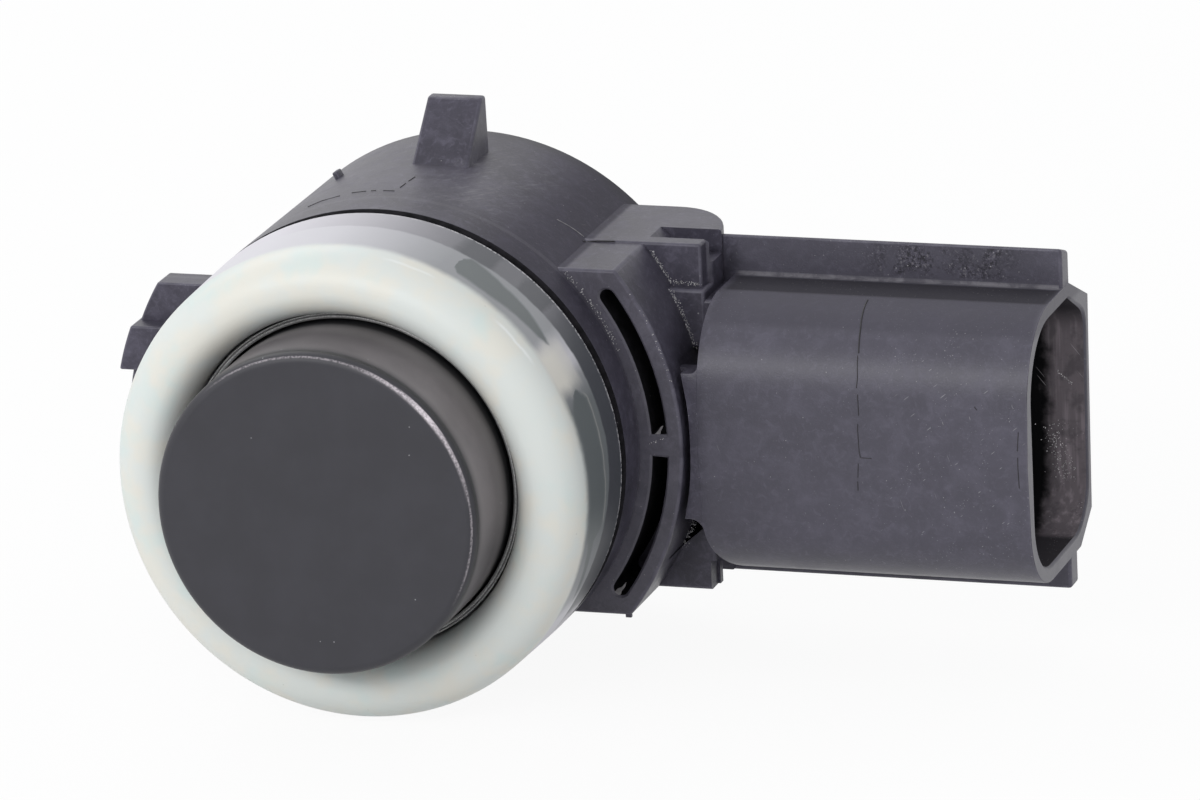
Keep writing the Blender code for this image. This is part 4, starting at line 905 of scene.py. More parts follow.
def lug_shapes(edge, finishes):
    centre, width, tip_width, front, crest, land, height = TOP_LUG
    base = BODY_RADIUS - SINK
    outline = [(front - SINK, base), (front, BODY_RADIUS), (crest, BODY_RADIUS + height),
               (crest + land, BODY_RADIUS + height), (crest + land, base)]
    lug = prism("top_lug", outline, centre - width / 2.0, centre + width / 2.0, "X")
    for vert in lug.data.vertices:
        share = max(0.0, (vert.co.z - BODY_RADIUS) / height)
        vert.co.x = centre + (vert.co.x - centre) * (1.0 + (tip_width / width - 1.0) * share)
    shapes = [(lug, edge)]
    radius = SIDE_LUG_RADIUS
    steps = (("side_upper", radius, SIDE_LUG_UPPER_FRONT, SIDE_LUG_STEP - SLIDE_GAP, SIDE_LUG_TOP),
             ("side_lower", radius + SLIDE_GAP, SIDE_LUG_LOWER_FRONT, SIDE_LUG_BOTTOM, SIDE_LUG_STEP),
             ("side_rim", SIDE_RIM_RADIUS, SIDE_RIM_FRONT, SIDE_RIM_BOTTOM, SIDE_LUG_BOTTOM + SLIDE_GAP))
    for step, (name, outer, front, low, high) in enumerate(steps):
        shapes.append((side_sector(name, outer, front, SIDE_LUG_REAR - step * SLIDE_GAP, low, high), edge))
    angle, depth, size, height = BODY_NUB
    nub = block("body_nub", (-SINK, -size / 2.0, -size / 4.0), (height, size / 2.0, size / 4.0))
    turn = Matrix.Rotation(-math.radians(angle), 4, "Y")
    outwards = Matrix.Translation((BODY_RADIUS, 0.0, 0.0))
    nub.data.transform(Matrix.Translation((0.0, depth, 0.0)) @ turn @ outwards)
    shapes.append((nub, 0.5 * edge))
    place = BRACKET_RADIUS - BRACKET_NUB_INSET
    size = BRACKET_NUB_HALF
    nub = block("bracket_nub", (place - size, BRACKET_FRONT + SLIDE_GAP, -BRACKET_HALF_HEIGHT - size),
                (place + size, BRACKET_FRONT + SEAT_GAP, -BRACKET_HALF_HEIGHT + size))
    shapes.append((nub, 0.2 * edge))
    return [moulded(item, finishes, width) for item, width in shapes]


def web_shapes(edge, finishes):
    """The solid pieces between the bracket and the socket."""
    web = block("web", (SLOT_OUTER_RADIUS + SLIDE_GAP, WEB_FRONT, WEB_BOTTOM),
                (SOCKET_START + SINK, NECK_FRONT + SINK, WEB_TOP))
    rear = SOCKET_REAR - SOCKET_TOP_SLOPE - THROAT_INSET
    throat = block("throat", (NECK_LENGTH - SINK, GUSSET_FRONT + THROAT_SHY, SOCKET_BOTTOM + THROAT_INSET),
                   (SOCKET_START + SINK, rear, SOCKET_TOP - THROAT_INSET))
    return [moulded(item, finishes, edge) for item in (web, throat)]


def hole_shapes():
    """The moulding holes above and below the web."""
    upper = WEB_TOP + HOLE_RISE
    holes = []
    for name, side, top, end_height in (("upper_hole", 1.0, upper, upper),
                                        ("lower_hole", -1.0, LOWER_GUSSET_FOOT, LOWER_GUSSET_TOP)):
        start, stop = [side * math.degrees(math.asin(height / HOLE_RADIUS))
                       for height in (HOLE_INNER_HEIGHT, top)]
        outline = arc(HOLE_RADIUS, start, stop, 12)
        outline += [(HOLE_END, side * end_height), (HOLE_END, side * HOLE_INNER_HEIGHT)]
        holes.append(prism(name, outline, WEB_FRONT + THROAT_SHY, HOLE_REAR, "Y"))
    return holes


def web_face(edge, finishes):
    """The thin plate that carries the socket's front face on towards the bracket, rounded into it."""
    top = WEB_TOP + WEB_TOP_ROUND
    bottom = WEB_BOTTOM - WEB_BOTTOM_ROUND
    heights = [top + (bottom - top) * step / 24.0 for step in range(25)]
    outline = [(socket_front_at(height) + WEB_SHY, height) for height in heights]
    outline += [(WEB_FRONT + SINK, bottom), (WEB_FRONT + SINK, top)]
    face = dressed(prism("web_face", outline, SLOT_OUTER_RADIUS, SOCKET_START + SINK, "X"), *finishes)
    front = SOCKET_FRONT - OVERCUT
    rear = WEB_FRONT + WEB_SHY
    rim = BRACKET_RADIUS + WEB_GROOVE
    tools = [turned("web_groove", [(0.0, front), (rim, front), (rim, rear), (0.0, rear)])]
    before = SLOT_OUTER_RADIUS - OVERCUT
    end = SOCKET_START + WEB_SHY
    for height, turn, side in ((WEB_TOP - WEB_SHY, WEB_TOP_ROUND, 1.0),
                               (WEB_BOTTOM + WEB_SHY, WEB_BOTTOM_ROUND, -1.0)):
        far = height + side * (turn + OVERCUT)
        outline = [(before, far), (before, height)]
        outline += arc(turn, -side * 90.0, 0.0, 10, (end - turn, height + side * turn)) + [(end, far)]
        tools.append(prism("web_round", outline, front, WEB_FRONT + SINK + OVERCUT, "Y"))
    combine(face, tools, "DIFFERENCE")
    return rounded(face, 0.5 * edge)


def shroud_shape(edge, finishes):
    """The socket itself: rounded at its lower corner, flared a little at the mouth, hollow."""
    shroud = dressed(prism("shroud", socket_outline(), SOCKET_START, SOCKET_MOUTH, "X"), *finishes)
    turn = SOCKET_START_ROUND
    corner = (SOCKET_START + turn, SOCKET_BOTTOM + SOCKET_START_FALL)
    low = SOCKET_BOTTOM - OVERCUT
    before = SOCKET_START - OVERCUT
    outline = [(before, low), (before, corner[1])]
    outline += arc(turn, 180.0, 270.0, 10, corner, SOCKET_START_FALL) + [(corner[0], low)]
    tool = prism("start_round", outline, SOCKET_FRONT - OVERCUT, SOCKET_REAR + OVERCUT, "Y")
    rounded(combine(shroud, [tool], "DIFFERENCE"), edge)
    flare = SOCKET_MOUTH - MOUTH_FLARE
    inner = socket_outline(SOCKET_WALL)
    outer = socket_outline(SOCKET_WALL - MOUTH_FLARE)
    tool = loft("hollow", [(SOCKET_FLOOR, inner), (flare, inner), (SOCKET_MOUTH + SKIN, outer),
                           (SOCKET_MOUTH + OVERCUT, outer)], "X")
    painted_faces(tool, 2, lambda middle: middle.x < flare)
    return combine(shroud, [tool], "DIFFERENCE")


def rail_shapes(edge, finishes):
    """The two guide rails; the upper one falls off to the rear."""
    rear = RAIL_FRONT + RAIL_THICKNESS
    rails = []
    for root, front_crest, rear_crest in (
            (SOCKET_TOP - SINK, RAIL_HALF_HEIGHT, RAIL_HALF_HEIGHT - RAIL_FALL),
            (SOCKET_BOTTOM + SINK, -RAIL_HALF_HEIGHT, -RAIL_HALF_HEIGHT)):
        outline = [(RAIL_FRONT, root), (RAIL_FRONT, front_crest), (rear, rear_crest), (rear, root)]
        rails.append(prism("rail", outline, NECK_LENGTH - SINK, SOCKET_MOUTH - RAIL_END_SHY, "X"))
    return [moulded(item, finishes, edge) for item in rails]


def inside_shape():
    profile = [(0.0, BODY_REAR + OVERCUT), (BODY_RADIUS - RECESS_WALL, BODY_REAR + OVERCUT),
               (BODY_RADIUS - RECESS_WALL, RECESS_FRONT + SKIN), (CAVITY_RADIUS + SKIN, RECESS_FRONT + SKIN),
               (CAVITY_RADIUS + SKIN, LEDGE_REAR + SKIN), (0.0, LEDGE_REAR + SKIN)]
    return turned("inside", profile)


class SENSOR_OT_housing(bpy.types.Operator):
    """Mould the housing: body, lugs, bracket, neck and socket in one shell"""
    bl_idname = "sensor.housing"
    bl_label = "Housing"

    def execute(self, context):
        settings = context.scene.sensor_housing
        edge = settings.edge
        tone = tuple(settings.colour)
        finishes = (moulded_plastic("housing_plastic", tone, settings.dust, marks=housing_marks),
                    shaded_finish(), hollow_finish(),
                    moulded_plastic("housing_edges", tone, settings.dust, settings.wear))
        housing = dressed(body_shape(), *finishes)
        # The body's front lip in the gap beside the ring takes the painted shade
        painted_faces(housing, 1, lambda middle: middle.y < BODY_FRONT + 0.8 * BODY_LIP)
        housing.name = "moulded_housing"
        shapes = lug_shapes(edge, finishes) + [bracket_shape(edge, finishes), neck_shape(edge, finishes)]
        combine(housing, shapes + web_shapes(edge, finishes), "UNION")
        combine(housing, hole_shapes(), "DIFFERENCE")
        shapes = [web_face(edge, finishes)] + rail_shapes(edge, finishes) + [shroud_shape(edge, finishes)]
        combine(housing, shapes, "UNION")
        smooth(housing)
        finished(housing, "housing", "housing")
        return {"FINISHED"}


# Trees of geometry nodes

def new_tree(name, *inputs):
    """A tree that takes a geometry and more named inputs; gives the tree and the sockets of its inputs."""
    tree = bpy.data.node_groups.new(name, "GeometryNodeTree")
    for label, kind in (("Geometry", "Geometry"),) + inputs:
        tree.interface.new_socket(label, in_out="INPUT", socket_type="NodeSocket" + kind)
    tree.interface.new_socket("Geometry", in_out="OUTPUT", socket_type="NodeSocketGeometry")
    return tree, tree.nodes.new("NodeGroupInput").outputs


def close_tree(tree, given, made):
    """Makes the geometry real, paints it and hands it out."""
    real = add_node(tree, "GeometryNodeRealizeInstances", None, {"Geometry": made})
    paint = add_node(tree, "GeometryNodeSetMaterial", None, {"Geometry": real, "Material": given["Finish"]})
    add_node(tree, "NodeGroupOutput", None, {"Geometry": paint})
    return tree


def crown_tree():
    """Stands copies of a tooth round the axis."""
    tree, given = new_tree("crown", ("Teeth", "Int"), ("Offset", "Float"), ("Finish", "Material"))
    line = add_node(tree, "GeometryNodeMeshLine", None, {"Offset": (0.0, 0.0, 0.0), "Count": given["Teeth"]})
    number = add_node(tree, "GeometryNodeInputIndex")
    shift = add_node(tree, "ShaderNodeMath", {"operation": "ADD"}, {0: number, 1: given["Offset"]})
    share = add_node(tree, "ShaderNodeMath", {"operation": "DIVIDE"}, {0: shift, 1: given["Teeth"]})
    angle = add_node(tree, "ShaderNodeMath", {"operation": "MULTIPLY"}, {0: share, 1: -math.tau})
    turn = add_node(tree, "ShaderNodeCombineXYZ", None, {"Y": angle})
    copies = add_node(tree, "GeometryNodeInstanceOnPoints", None,
                      {"Points": line, "Instance": given["Geometry"], "Rotation": turn})
    return close_tree(tree, given, copies)


def strand_tree():
    """Runs a thin round strand along each line of a mesh."""
    tree, given = new_tree("strand", ("Radius", "Float"), ("Finish", "Material"))
    path = add_node(tree, "GeometryNodeMeshToCurve", None, {"Mesh": given["Geometry"]})
    section = add_node(tree, "GeometryNodeCurvePrimitiveCircle", None,
                       {"Resolution": 8, "Radius": given["Radius"]})
    skin = add_node(tree, "GeometryNodeCurveToMesh", None,
                    {"Curve": path, "Profile Curve": section, "Fill Caps": True})
    return close_tree(tree, given, skin)


def crumb_tree():
    """Sets a small uneven crumb on each point of a mesh."""
    tree, given = new_tree("crumbs", ("Size", "Float"), ("Finish", "Material"))
    crumb = add_node(tree, "GeometryNodeMeshIcoSphere", None, {"Subdivisions": 1, "Radius": given["Size"]})
    turn, size = [add_node(tree, "FunctionNodeRandomValue", {"data_type": "FLOAT_VECTOR"},
                           {"Min": (low,) * 3, "Max": (high,) * 3, "Seed": seed})
                  for seed, low, high in ((SCATTER_SEED, 0.0, math.tau), (SCATTER_SEED + 1, 0.45, 1.35))]
    copies = add_node(tree, "GeometryNodeInstanceOnPoints", None,
                      {"Points": given["Geometry"], "Instance": crumb, "Rotation": turn, "Scale": size})
    return close_tree(tree, given, copies)


def grown(item, tree, **values):
    """Runs a nodes tree on the object and keeps the plain mesh."""
    step = item.modifiers.new(tree.name, "NODES")
    step.node_group = tree
    sockets = {entry.name: entry.identifier for entry in tree.interface.items_tree
               if entry.in_out == "INPUT"}
    for label, value in values.items():
        step[sockets[label]] = value
    return settle(item)


def tooth_row(tree, name, front, rear, width, edge, **values):
    """One tooth, as wide as said half way up, set round the axis by the tree."""
    middle = (CROWN_BORE + CROWN_RADIUS) / 2.0
    half = math.degrees(width * CROWN_BORE / middle / 2.0 / CROWN_BORE)
    outline = arc(CROWN_RADIUS, -half, half, 8) + arc(CROWN_BORE, half, -half, 8)
    tooth = rounded(prism(name, outline, front, rear, "Y"), edge, 2)
    return smooth(grown(tooth, tree, **values))


class SENSOR_OT_crown(bpy.types.Operator):
    """Stand the crown's teeth on the housing and the silicone keys between them"""
    bl_idname = "sensor.crown"
    bl_label = "Crown"

    def execute(self, context):
        teeth = context.scene.sensor_ring.teeth
        tree = crown_tree()
        pitch = math.tau * ((CROWN_BORE + CROWN_RADIUS) / 2.0) / teeth
        plastic = moulded_plastic("crown_plastic", (0.045, 0.05, 0.062), 0.3)
        row = tooth_row(tree, "crown_teeth", CROWN_FRONT, CROWN_BASE + CROWN_SINK,
                        pitch - CROWN_NOTCH_WIDTH, CROWN_EDGE, Teeth=teeth, Offset=0.0, Finish=plastic)
        finished(row, "housing", "housing")
        silicone = speck_finish("key_silicone", (0.5, 0.5, 0.53))
        row = tooth_row(tree, "silicone_keys", CROWN_FRONT - KEY_PROUD, CROWN_BASE - KEY_GAP / 2.0,
                        CROWN_NOTCH_WIDTH - KEY_GAP, KEY_EDGE, Teeth=teeth, Offset=0.5, Finish=silicone)
        finished(row, "ring", "decoupling_ring")
        return {"FINISHED"}


# Flash lines, marks and crumbs on the housing

def spots(*places):
    """A line through places in millimetres."""
    return [tuple(part * MM for part in place) for place in places]


def on_body(*stops):
    """A line on the round body, through stops of angle and depth."""
    line = []
    for angle, depth in stops:
        angle = math.radians(angle)
        line.append((BODY_RADIUS * math.cos(angle), depth * MM, BODY_RADIUS * math.sin(angle)))
    return line


def over_socket(*stops):
    """A line that keeps to the socket's front, through stops of place and height."""
    line = []
    for first, last in zip(stops, stops[1:]):
        line += [Vector(first).lerp(Vector(last), step / LINE_STEPS) * MM for step in range(LINE_STEPS)]
    line.append(Vector(stops[-1]) * MM)
    return [(spot.x, socket_front_at(spot.y) - FLASH_PROUD, spot.y) for spot in line]


def lines_mesh(name, paths):
    """A mesh of bare lines, one for each path of points."""
    points = []
    edges = []
    for path in paths:
        edges += [(len(points) + step, len(points) + step + 1) for step in range(len(path) - 1)]
        points += path
    return add_mesh(name, points, [], edges)


def scattered(chance, paths):
    """Points strewn beside paths; each path comes with its number of points and their spread."""
    points = []
    for path, count, spread in paths:
        for _ in range(count):
            step = chance.randrange(len(path) - 1)
            spot = Vector(path[step]).lerp(Vector(path[step + 1]), chance.random())
            aside, above = [chance.gauss(0.0, spread * MM) for _ in range(2)]
            points.append((spot.x + aside, spot.y, spot.z + above))
    return points


def round_bracket(radius, depth, low, high):
    """Points on an arc about the axis between two heights, in millimetres."""
    heights = [low + (high - low) * step / LINE_STEPS for step in range(LINE_STEPS + 1)]
    return [(math.sqrt(radius ** 2 - height ** 2) * MM, depth * MM, height * MM) for height in heights]


def flake_shape(name, outline, depth):
    """A thin torn flake of plastic left across the end of a slot."""
    corners = [(across * MM, up * MM) for across, up in outline]
    return rounded(prism(name, corners, depth * MM, (depth + FLAKE_THICKNESS) * MM, "Y"), FLAKE_EDGE, 1)


class SENSOR_OT_marks(bpy.types.Operator):
    """Run the broken flash lines over the housing and strew the torn crumbs along its edges"""
    bl_idname = "sensor.marks"
    bl_label = "Flash and crumbs"

    def execute(self, context):
        dark = [on_body((113.6, 13.83), (110.2, 14.08), (105.4, 14.03)),
                on_body((102.5, 14.14), (98.8, 14.06)), on_body((97.4, 14.03), (96.2, 14.0)),
                on_body((94.2, 13.94), (91.4, 13.88)), on_body((91.0, 14.5), (90.9, 15.2)),
                on_body((90.8, 15.6), (90.5, 16.3)),
                spots((8.0, 17.36, 8.5), (8.5, 17.38, 8.56), (9.35, 17.38, 8.58)),
                on_body((46.4, 17.5), (47.6, 17.15)),
                over_socket((21.85, 6.42), (21.9, 6.2), (22.05, 5.6), (22.18, 4.7))]
        fine = [over_socket((22.15, 4.6), (22.24, 3.6), (22.2, 3.2)), over_socket((22.26, 2.9), (22.3, 1.9)),
                over_socket((22.25, 1.5), (22.24, 1.2), (22.3, 0.2), (22.36, -0.1), (22.9, -0.12)),
                over_socket((22.24, -0.4), (22.18, -1.1)), over_socket((22.16, -1.3), (22.15, -1.76)),
                over_socket((30.0, 1.5), (29.95, 0.6)), over_socket((29.96, 0.3), (29.98, -1.2)),
                over_socket((27.9, 2.6), (28.02, 2.45))]
        pale = [on_body((55.5, 17.2), (52.8, 17.4), (50.8, 17.52), (48.2, 17.6)),
                spots((28.4, 19.2, -6.08), (28.6, 19.4, -6.03), (28.9, 19.45, -6.08))]
        strand = strand_tree()
        for name, paths, radius, tone in (("flash_dark", dark, 0.032, (0.016, 0.015, 0.018)),
                                          ("flash_fine", fine, 0.02, (0.02, 0.018, 0.022)),
                                          ("flash_pale", pale, 0.028, (0.22, 0.215, 0.225))):
            lines = lines_mesh(name, paths)
            grown(lines, strand, Radius=radius * MM, Finish=speck_finish(name, tone))
            lines.data.shade_smooth()
            finished(lines, "housing")
        edges = [(round_bracket(11.7, 12.93, 4.6, 8.3), 110, 0.09),
                 (round_bracket(13.74, 16.85, 3.7, 6.45), 240, 0.09),
                 (round_bracket(13.74, 17.4, 6.7, 8.1), 120, 0.07),
                 (round_bracket(13.74, 16.86, -6.2, -4.9), 90, 0.09),
                 (round_bracket(13.6, 12.96, 3.0, 7.6), 60, 0.05),
                 (spots((12.1, 17.38, 6.72), (13.5, 17.38, 6.66)), 50, 0.06),
                 (spots((12.1, 12.93, 0.1), (12.8, 12.93, 0.4)), 8, 0.04)]
        mouth = [(spots((28.7, 23.66, -1.6), (29.5, 23.53, -4.6)), 200, 0.3),
                 (spots((29.0, 23.79, 1.2), (29.7, 23.76, 0.65)), 30, 0.03)]
        chance = random.Random(SCATTER_SEED)
        for name, paths, size, tone in (("edge_crumbs", edges, 0.027, (0.5, 0.49, 0.5)),
                                        ("mouth_crumbs", mouth, 0.03, (0.85, 0.82, 0.84))):
            crumbs = lines_mesh(name, [[point] for point in scattered(chance, paths)])
            grown(crumbs, crumb_tree(), Size=size * MM, Finish=speck_finish(name, tone))
            finished(crumbs, "housing")
        torn = speck_finish("torn_plastic", (0.2, 0.19, 0.2))
        for name, outline, depth in (("slot_flake_low", FLAKE_LOW, 13.02),
                                     ("slot_flake_high", FLAKE_HIGH, 13.05)):
            finished(dressed(flake_shape(name, outline, depth), torn), "housing")
        return {"FINISHED"}


# Ring, cup and collar

def ring_finish(settings):
    """Milky silicone in front; behind it frosted strips, then a clear band with the crown's teeth in it."""
    finish = Finish("milky_silicone")
    across, level, up = finish.place()
    cloud = finish.noise(2.2, 3.0, 0.55)
    fine = finish.noise(0.1, 2.0)
    wobble = cloud * 0.16 - 0.08
    angle = finish.round_angle() + (finish.noise(0.9) - 0.5) * 2.5
    depth = level + (finish.noise(0.7) - 0.5) * 0.22
    # Painted shade on the ring's inner fall towards the collar
    well_shade = 1.0 - finish.step(finish.radius(across, up), 8.3, 9.1)
    # Frosted part, with strips, a beige patch and fine bright lines
    frosted = (0.125, 0.14, 0.144)
    start = finish.step(depth + wobble, 5.05, 5.75)
    haze = finish.course(angle, FROST_HAZE, 1.0)
    fading = 1.0 - finish.step(depth, 6.2, 8.2) * 0.6
    beige = angle.band(24.0, 35.0, 2.5) * depth.band(5.3, 7.95, 0.25) * fading
    inner = finish.course(angle, STRIP_FRONT, COURSE_REACH)
    outer = finish.course(angle, STRIP_REAR, COURSE_REACH)
    strip = finish.step(depth - inner, -0.16, 0.2) * finish.step(outer - depth, -0.16, 0.2)
    line = (depth - outer).band(0.06, 0.2, 0.05) * angle.band(-11.0, 21.0, 1.5)
    streak = depth.band(4.62, 4.76, 0.06) * (angle.band(35.0, 47.0, 2.0) | angle.band(66.0, 77.0, 2.0) * 0.6)
    # Clear band, dark where a tooth stands behind it
    band = finish.step(depth - finish.course(angle, BAND_START, COURSE_REACH) + wobble * 0.5, -0.08, 0.14)
    pale = finish.course(angle, BAND_PALE, 1.0)
    rim = level.band(10.0, 10.3, 0.02) * finish.step(finish.noise(0.16, 2.0, 0.7), 0.42, 0.58)
    colour = finish.layers(
        tuple(settings.milky),
        (finish.step(cloud, 0.4, 0.66) * 0.8, (0.71, 0.69, 0.62)),
        (finish.step(finish.noise(3.4), 0.5, 0.68) * 0.7, (0.60, 0.69, 0.67)),
        (well_shade * 0.2, (0.35, 0.35, 0.355)),
        (start, finish.mix(haze, frosted, (0.62, 0.61, 0.65))),
        (beige, (0.70, 0.68, 0.62)),
        (strip, frosted),
        (line * 0.6, (0.34, 0.34, 0.32)),
        (streak * 0.8, (0.80, 0.82, 0.81)),
        (band, finish.mix(pale, tuple(settings.dark), (0.64, 0.62, 0.67))),
        (rim * 0.8, (0.5, 0.49, 0.51)),
        (finish.specks(0.8, 0.045, 0.22) * 0.3, (0.3, 0.29, 0.27)))
    return finish.principled(Base_Color=colour, Roughness=0.36 + cloud * 0.12, Specular_IOR_Level=0.4,
                             Normal=finish.bump(fine * 0.5 + cloud, 0.015, 0.5))


class SENSOR_OT_ring(bpy.types.Operator):
    """Turn the silicone decoupling ring round the cup"""
    bl_idname = "sensor.ring"
    bl_label = "Decoupling ring"

    def execute(self, context):
        skirt_rear = BODY_FRONT - SEAT_GAP
        shoulder = SHOULDER_FRONT - SEAT_GAP
        web_rear = CROWN_FRONT - SEAT_GAP
        fall_end = RING_CREST_DEPTH + RING_FALL
        land_end = fall_end + RING_LAND
        inside = BODY_RADIUS - SKIRT_WALL
        profile = [(BODY_RADIUS - SKIRT_EDGE, skirt_rear), (BODY_RADIUS, skirt_rear - SKIRT_EDGE),
                   (BODY_RADIUS - SKIRT_TAPER, SKIRT_MIDDLE), (BODY_RADIUS - 2.0 * SKIRT_TAPER, SKIRT_START)]
        profile += arc(RING_ROUNDING, 0.0, -90.0, ARC_STEPS,
                       (RING_CREST_RADIUS, RING_CREST_DEPTH + RING_ROUNDING))
        profile += arc(RING_CREST_RADIUS - RING_BORE, -90.0, -180.0, ARC_STEPS,
                       (RING_CREST_RADIUS, fall_end), RING_FALL)[1:]
        profile += [(RING_BORE, land_end), (INNER_SKIRT, land_end), (INNER_SKIRT, shoulder),
                    (INNER_SKIRT_OUTER, shoulder), (INNER_SKIRT_OUTER, web_rear), (inside, web_rear),
                    (inside, skirt_rear)]
        ring = dressed(turned("silicone_ring", profile), ring_finish(context.scene.sensor_ring))
        smooth(ring)
        finished(ring, "ring", "decoupling_ring")
        return {"FINISHED"}


def cup_finish(tone):
    """Black satin paint, dusty; on its side a painted brownish reflection, painted light near the collar and
    a painted shadow behind the front edge; a painted highlight along the front edge.
    """
    finish = Finish("cup_paint")
    depth = finish.axis("Y") / MM
    angle = finish.round_angle()
    cloud = finish.noise(2.4, 4.0)
    fine = finish.noise(0.05, 2.0)
    orange_peel = finish.noise(0.35, 2.0, 0.5)
    chips = finish.step(finish.noise(0.1, 2.0, 0.7), 0.36, 0.6)
    dust = finish.specks(0.7, 0.036, 0.3) | finish.specks(1.3, 0.055, 0.4)
    # Painted reflection on the cup's side, brown-grey, strongest at the upper right
    sheen_sides = angle.band(-20.0, 80.0, 25.0) | angle.band(-60.0, 150.0, 25.0) * 0.6
    painted_sheen = depth.band(0.8, 4.6, 0.5) * sheen_sides
    # Painted light near the collar and painted shadow behind the front edge, round the arc that shows
    painted_light_arc = angle.band(-75.0, 165.0, 20.0)
    # Painted highlight along the front edge, broken up by noise
    bare = depth.band(0.05, 0.15, 0.03) * angle.band(16.0, 68.0, 12.0) * (0.3 + chips * 0.45)
    bright = depth.band(0.04, 0.18, 0.03) * angle.band(33.0, 52.0, 8.0) * (0.6 + chips * 0.4)
    thin = depth.band(0.07, 0.13, 0.02) * angle.band(-25.0, 125.0, 10.0) * (0.05 + chips * 0.3)
    colour = finish.layers(
        toned(tone, 0.85),
        (finish.step(cloud, 0.35, 0.7), tone),
        # Painted reflection, painted light near the collar, darkening at the collar, painted shadow behind
        # the front edge and the painted highlight
        (painted_sheen * (0.5 + cloud * 0.5), (0.235, 0.215, 0.22)),
        (painted_light_arc * depth.band(3.9, 4.55, 0.9) * (0.3 + cloud * 0.2), (0.50, 0.485, 0.475)),
        (finish.step(depth, 4.6, 4.95) * 0.9, (0.010, 0.010, 0.012)),
        (painted_light_arc * depth.band(0.3, 0.7, 0.15) * 0.7, (0.009, 0.009, 0.011)),
        (bare | bright | thin, (0.72, 0.66, 0.70)),
        (dust * 0.7, (0.42, 0.42, 0.44)))
    return finish.principled(Base_Color=colour, Roughness=0.42 + cloud * 0.1 + fine * 0.06,
                             Normal=finish.bump(fine * 0.4 + orange_peel * 0.6, 0.012, 0.6),
                             Specular_IOR_Level=0.45)


class SENSOR_OT_cup(bpy.types.Operator):
    """Turn the painted membrane cup with its rounded front edge"""
    bl_idname = "sensor.cup"
    bl_label = "Membrane cup"

    def execute(self, context):
        settings = context.scene.sensor_cup
        edge = settings.edge
        inner = CUP_RADIUS - CUP_WALL
        profile = [(0.0, 0.0), (0.5 * CUP_RADIUS, 0.0)]
        profile += arc(edge, -90.0, 0.0, 10, (CUP_RADIUS - edge, edge))
        profile += [(CUP_RADIUS, CUP_DEPTH), (inner, CUP_DEPTH)]
        turn = CUP_INNER_ROUND
        profile += arc(turn, 0.0, -90.0, 5, (inner - turn, CUP_FLOOR + turn))
        profile += [(0.0, CUP_FLOOR)]
        cup = dressed(turned("painted_cup", profile), cup_finish(tuple(settings.colour)))
        smooth(cup)
        finished(cup, "cup", "membrane_cup")
        return {"FINISHED"}


def collar_finish():
    """Dark rubber, lightened as painted light, with painted highlights along its two lips and dust caught on
    it.
    """
    finish = Finish("collar_rubber")
    cloud = finish.noise(1.3, 4.0, 0.65)
    fine = finish.noise(0.07, 2.0)
    dust = finish.specks(0.3, 0.04, 0.3) | finish.specks(0.9, 0.07, 0.25)
    # Painted highlights along the two lips
    lips = 1.0 - finish.step(finish.axis("Y") / MM, 5.27, 5.3)
    colour = finish.layers(
        (0.15, 0.15, 0.152),
        (finish.step(cloud, 0.4, 0.7), (0.24, 0.236, 0.24)),
        (lips * (0.4 + finish.step(fine, 0.4, 0.65) * 0.6), (0.85, 0.85, 0.84)),
        (dust * 0.6, (0.4, 0.39, 0.37)))
    return finish.principled(Base_Color=colour, Roughness=0.5 + fine * 0.15,
                             Normal=finish.bump(fine + cloud, 0.02, 0.8))


class SENSOR_OT_collar(bpy.types.Operator):
    """Turn the rubber collar round the cup, with its two fine lips"""
    bl_idname = "sensor.collar"
    bl_label = "Collar"

    def execute(self, context):
        inner = CUP_RADIUS + SLIDE_GAP
        lip = inner + SLEEVE_LIP
        step = RING_CREST_DEPTH + RING_FALL + RING_LAND + SEAT_GAP
        rear = SHOULDER_FRONT - SEAT_GAP
        rib = LIP_RIB
        profile = [(inner, rear), (SLEEVE_RADIUS, rear), (SLEEVE_RADIUS, step), (lip, step),
                   (lip, SLEEVE_FRONT + rib)]
        profile += arc(0.5 * rib, 0.0, -180.0, 4, (lip - 0.5 * rib, SLEEVE_FRONT + 0.5 * rib))
        profile += [(lip - 1.6 * rib, SLEEVE_FRONT + rib), (lip - 2.2 * rib, SLEEVE_FRONT + rib)]
        profile += arc(0.5 * rib, 0.0, -180.0, 4, (lip - 2.7 * rib, SLEEVE_FRONT + 0.5 * rib))
        profile += [(inner, SLEEVE_FRONT + rib)]
        collar = dressed(turned("rubber_collar", profile), collar_finish())
        smooth(collar)
        finished(collar, "sleeve", "collar_sleeve")
        return {"FINISHED"}


# Finishes for the pieces that stay as they are in the solids

def plain_finish(name, tone, rough=0.5, metal=0.0, grain=0.1, streak=0.0):
    """Clouded colour, fine grain and small marks; drawn metal has streaks too."""
    finish = Finish(name)
    cloud = finish.noise(1.2)
    fine = finish.noise(grain, 2.0)
    colour = finish.layers(
        toned(tone, 0.8),
        (finish.step(cloud, 0.35, 0.68), toned(tone, 1.3, 0.01)),
        (finish.specks(0.7, 0.05, 0.25) * 0.3, toned(tone, 0.5, 0.1)))
    height = fine
    if streak:
        lines = finish.noise(streak, 2.0, 0.5, finish.mapped((1.0, 25.0, 1.0)))
        height = fine * 0.4 + lines
        colour = finish.mix(finish.step(lines, 0.5, 0.7) * 0.25, colour, toned(tone, 0.6))
    return finish.principled(Base_Color=colour, Metallic=metal, Roughness=rough + fine * 0.12,
                             Normal=finish.bump(height, 0.02, 0.6))


def painted(node, finish):
    """Gives a piece that stays as it is its finish."""
    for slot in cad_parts[node].material_slots:
        slot.material = finish


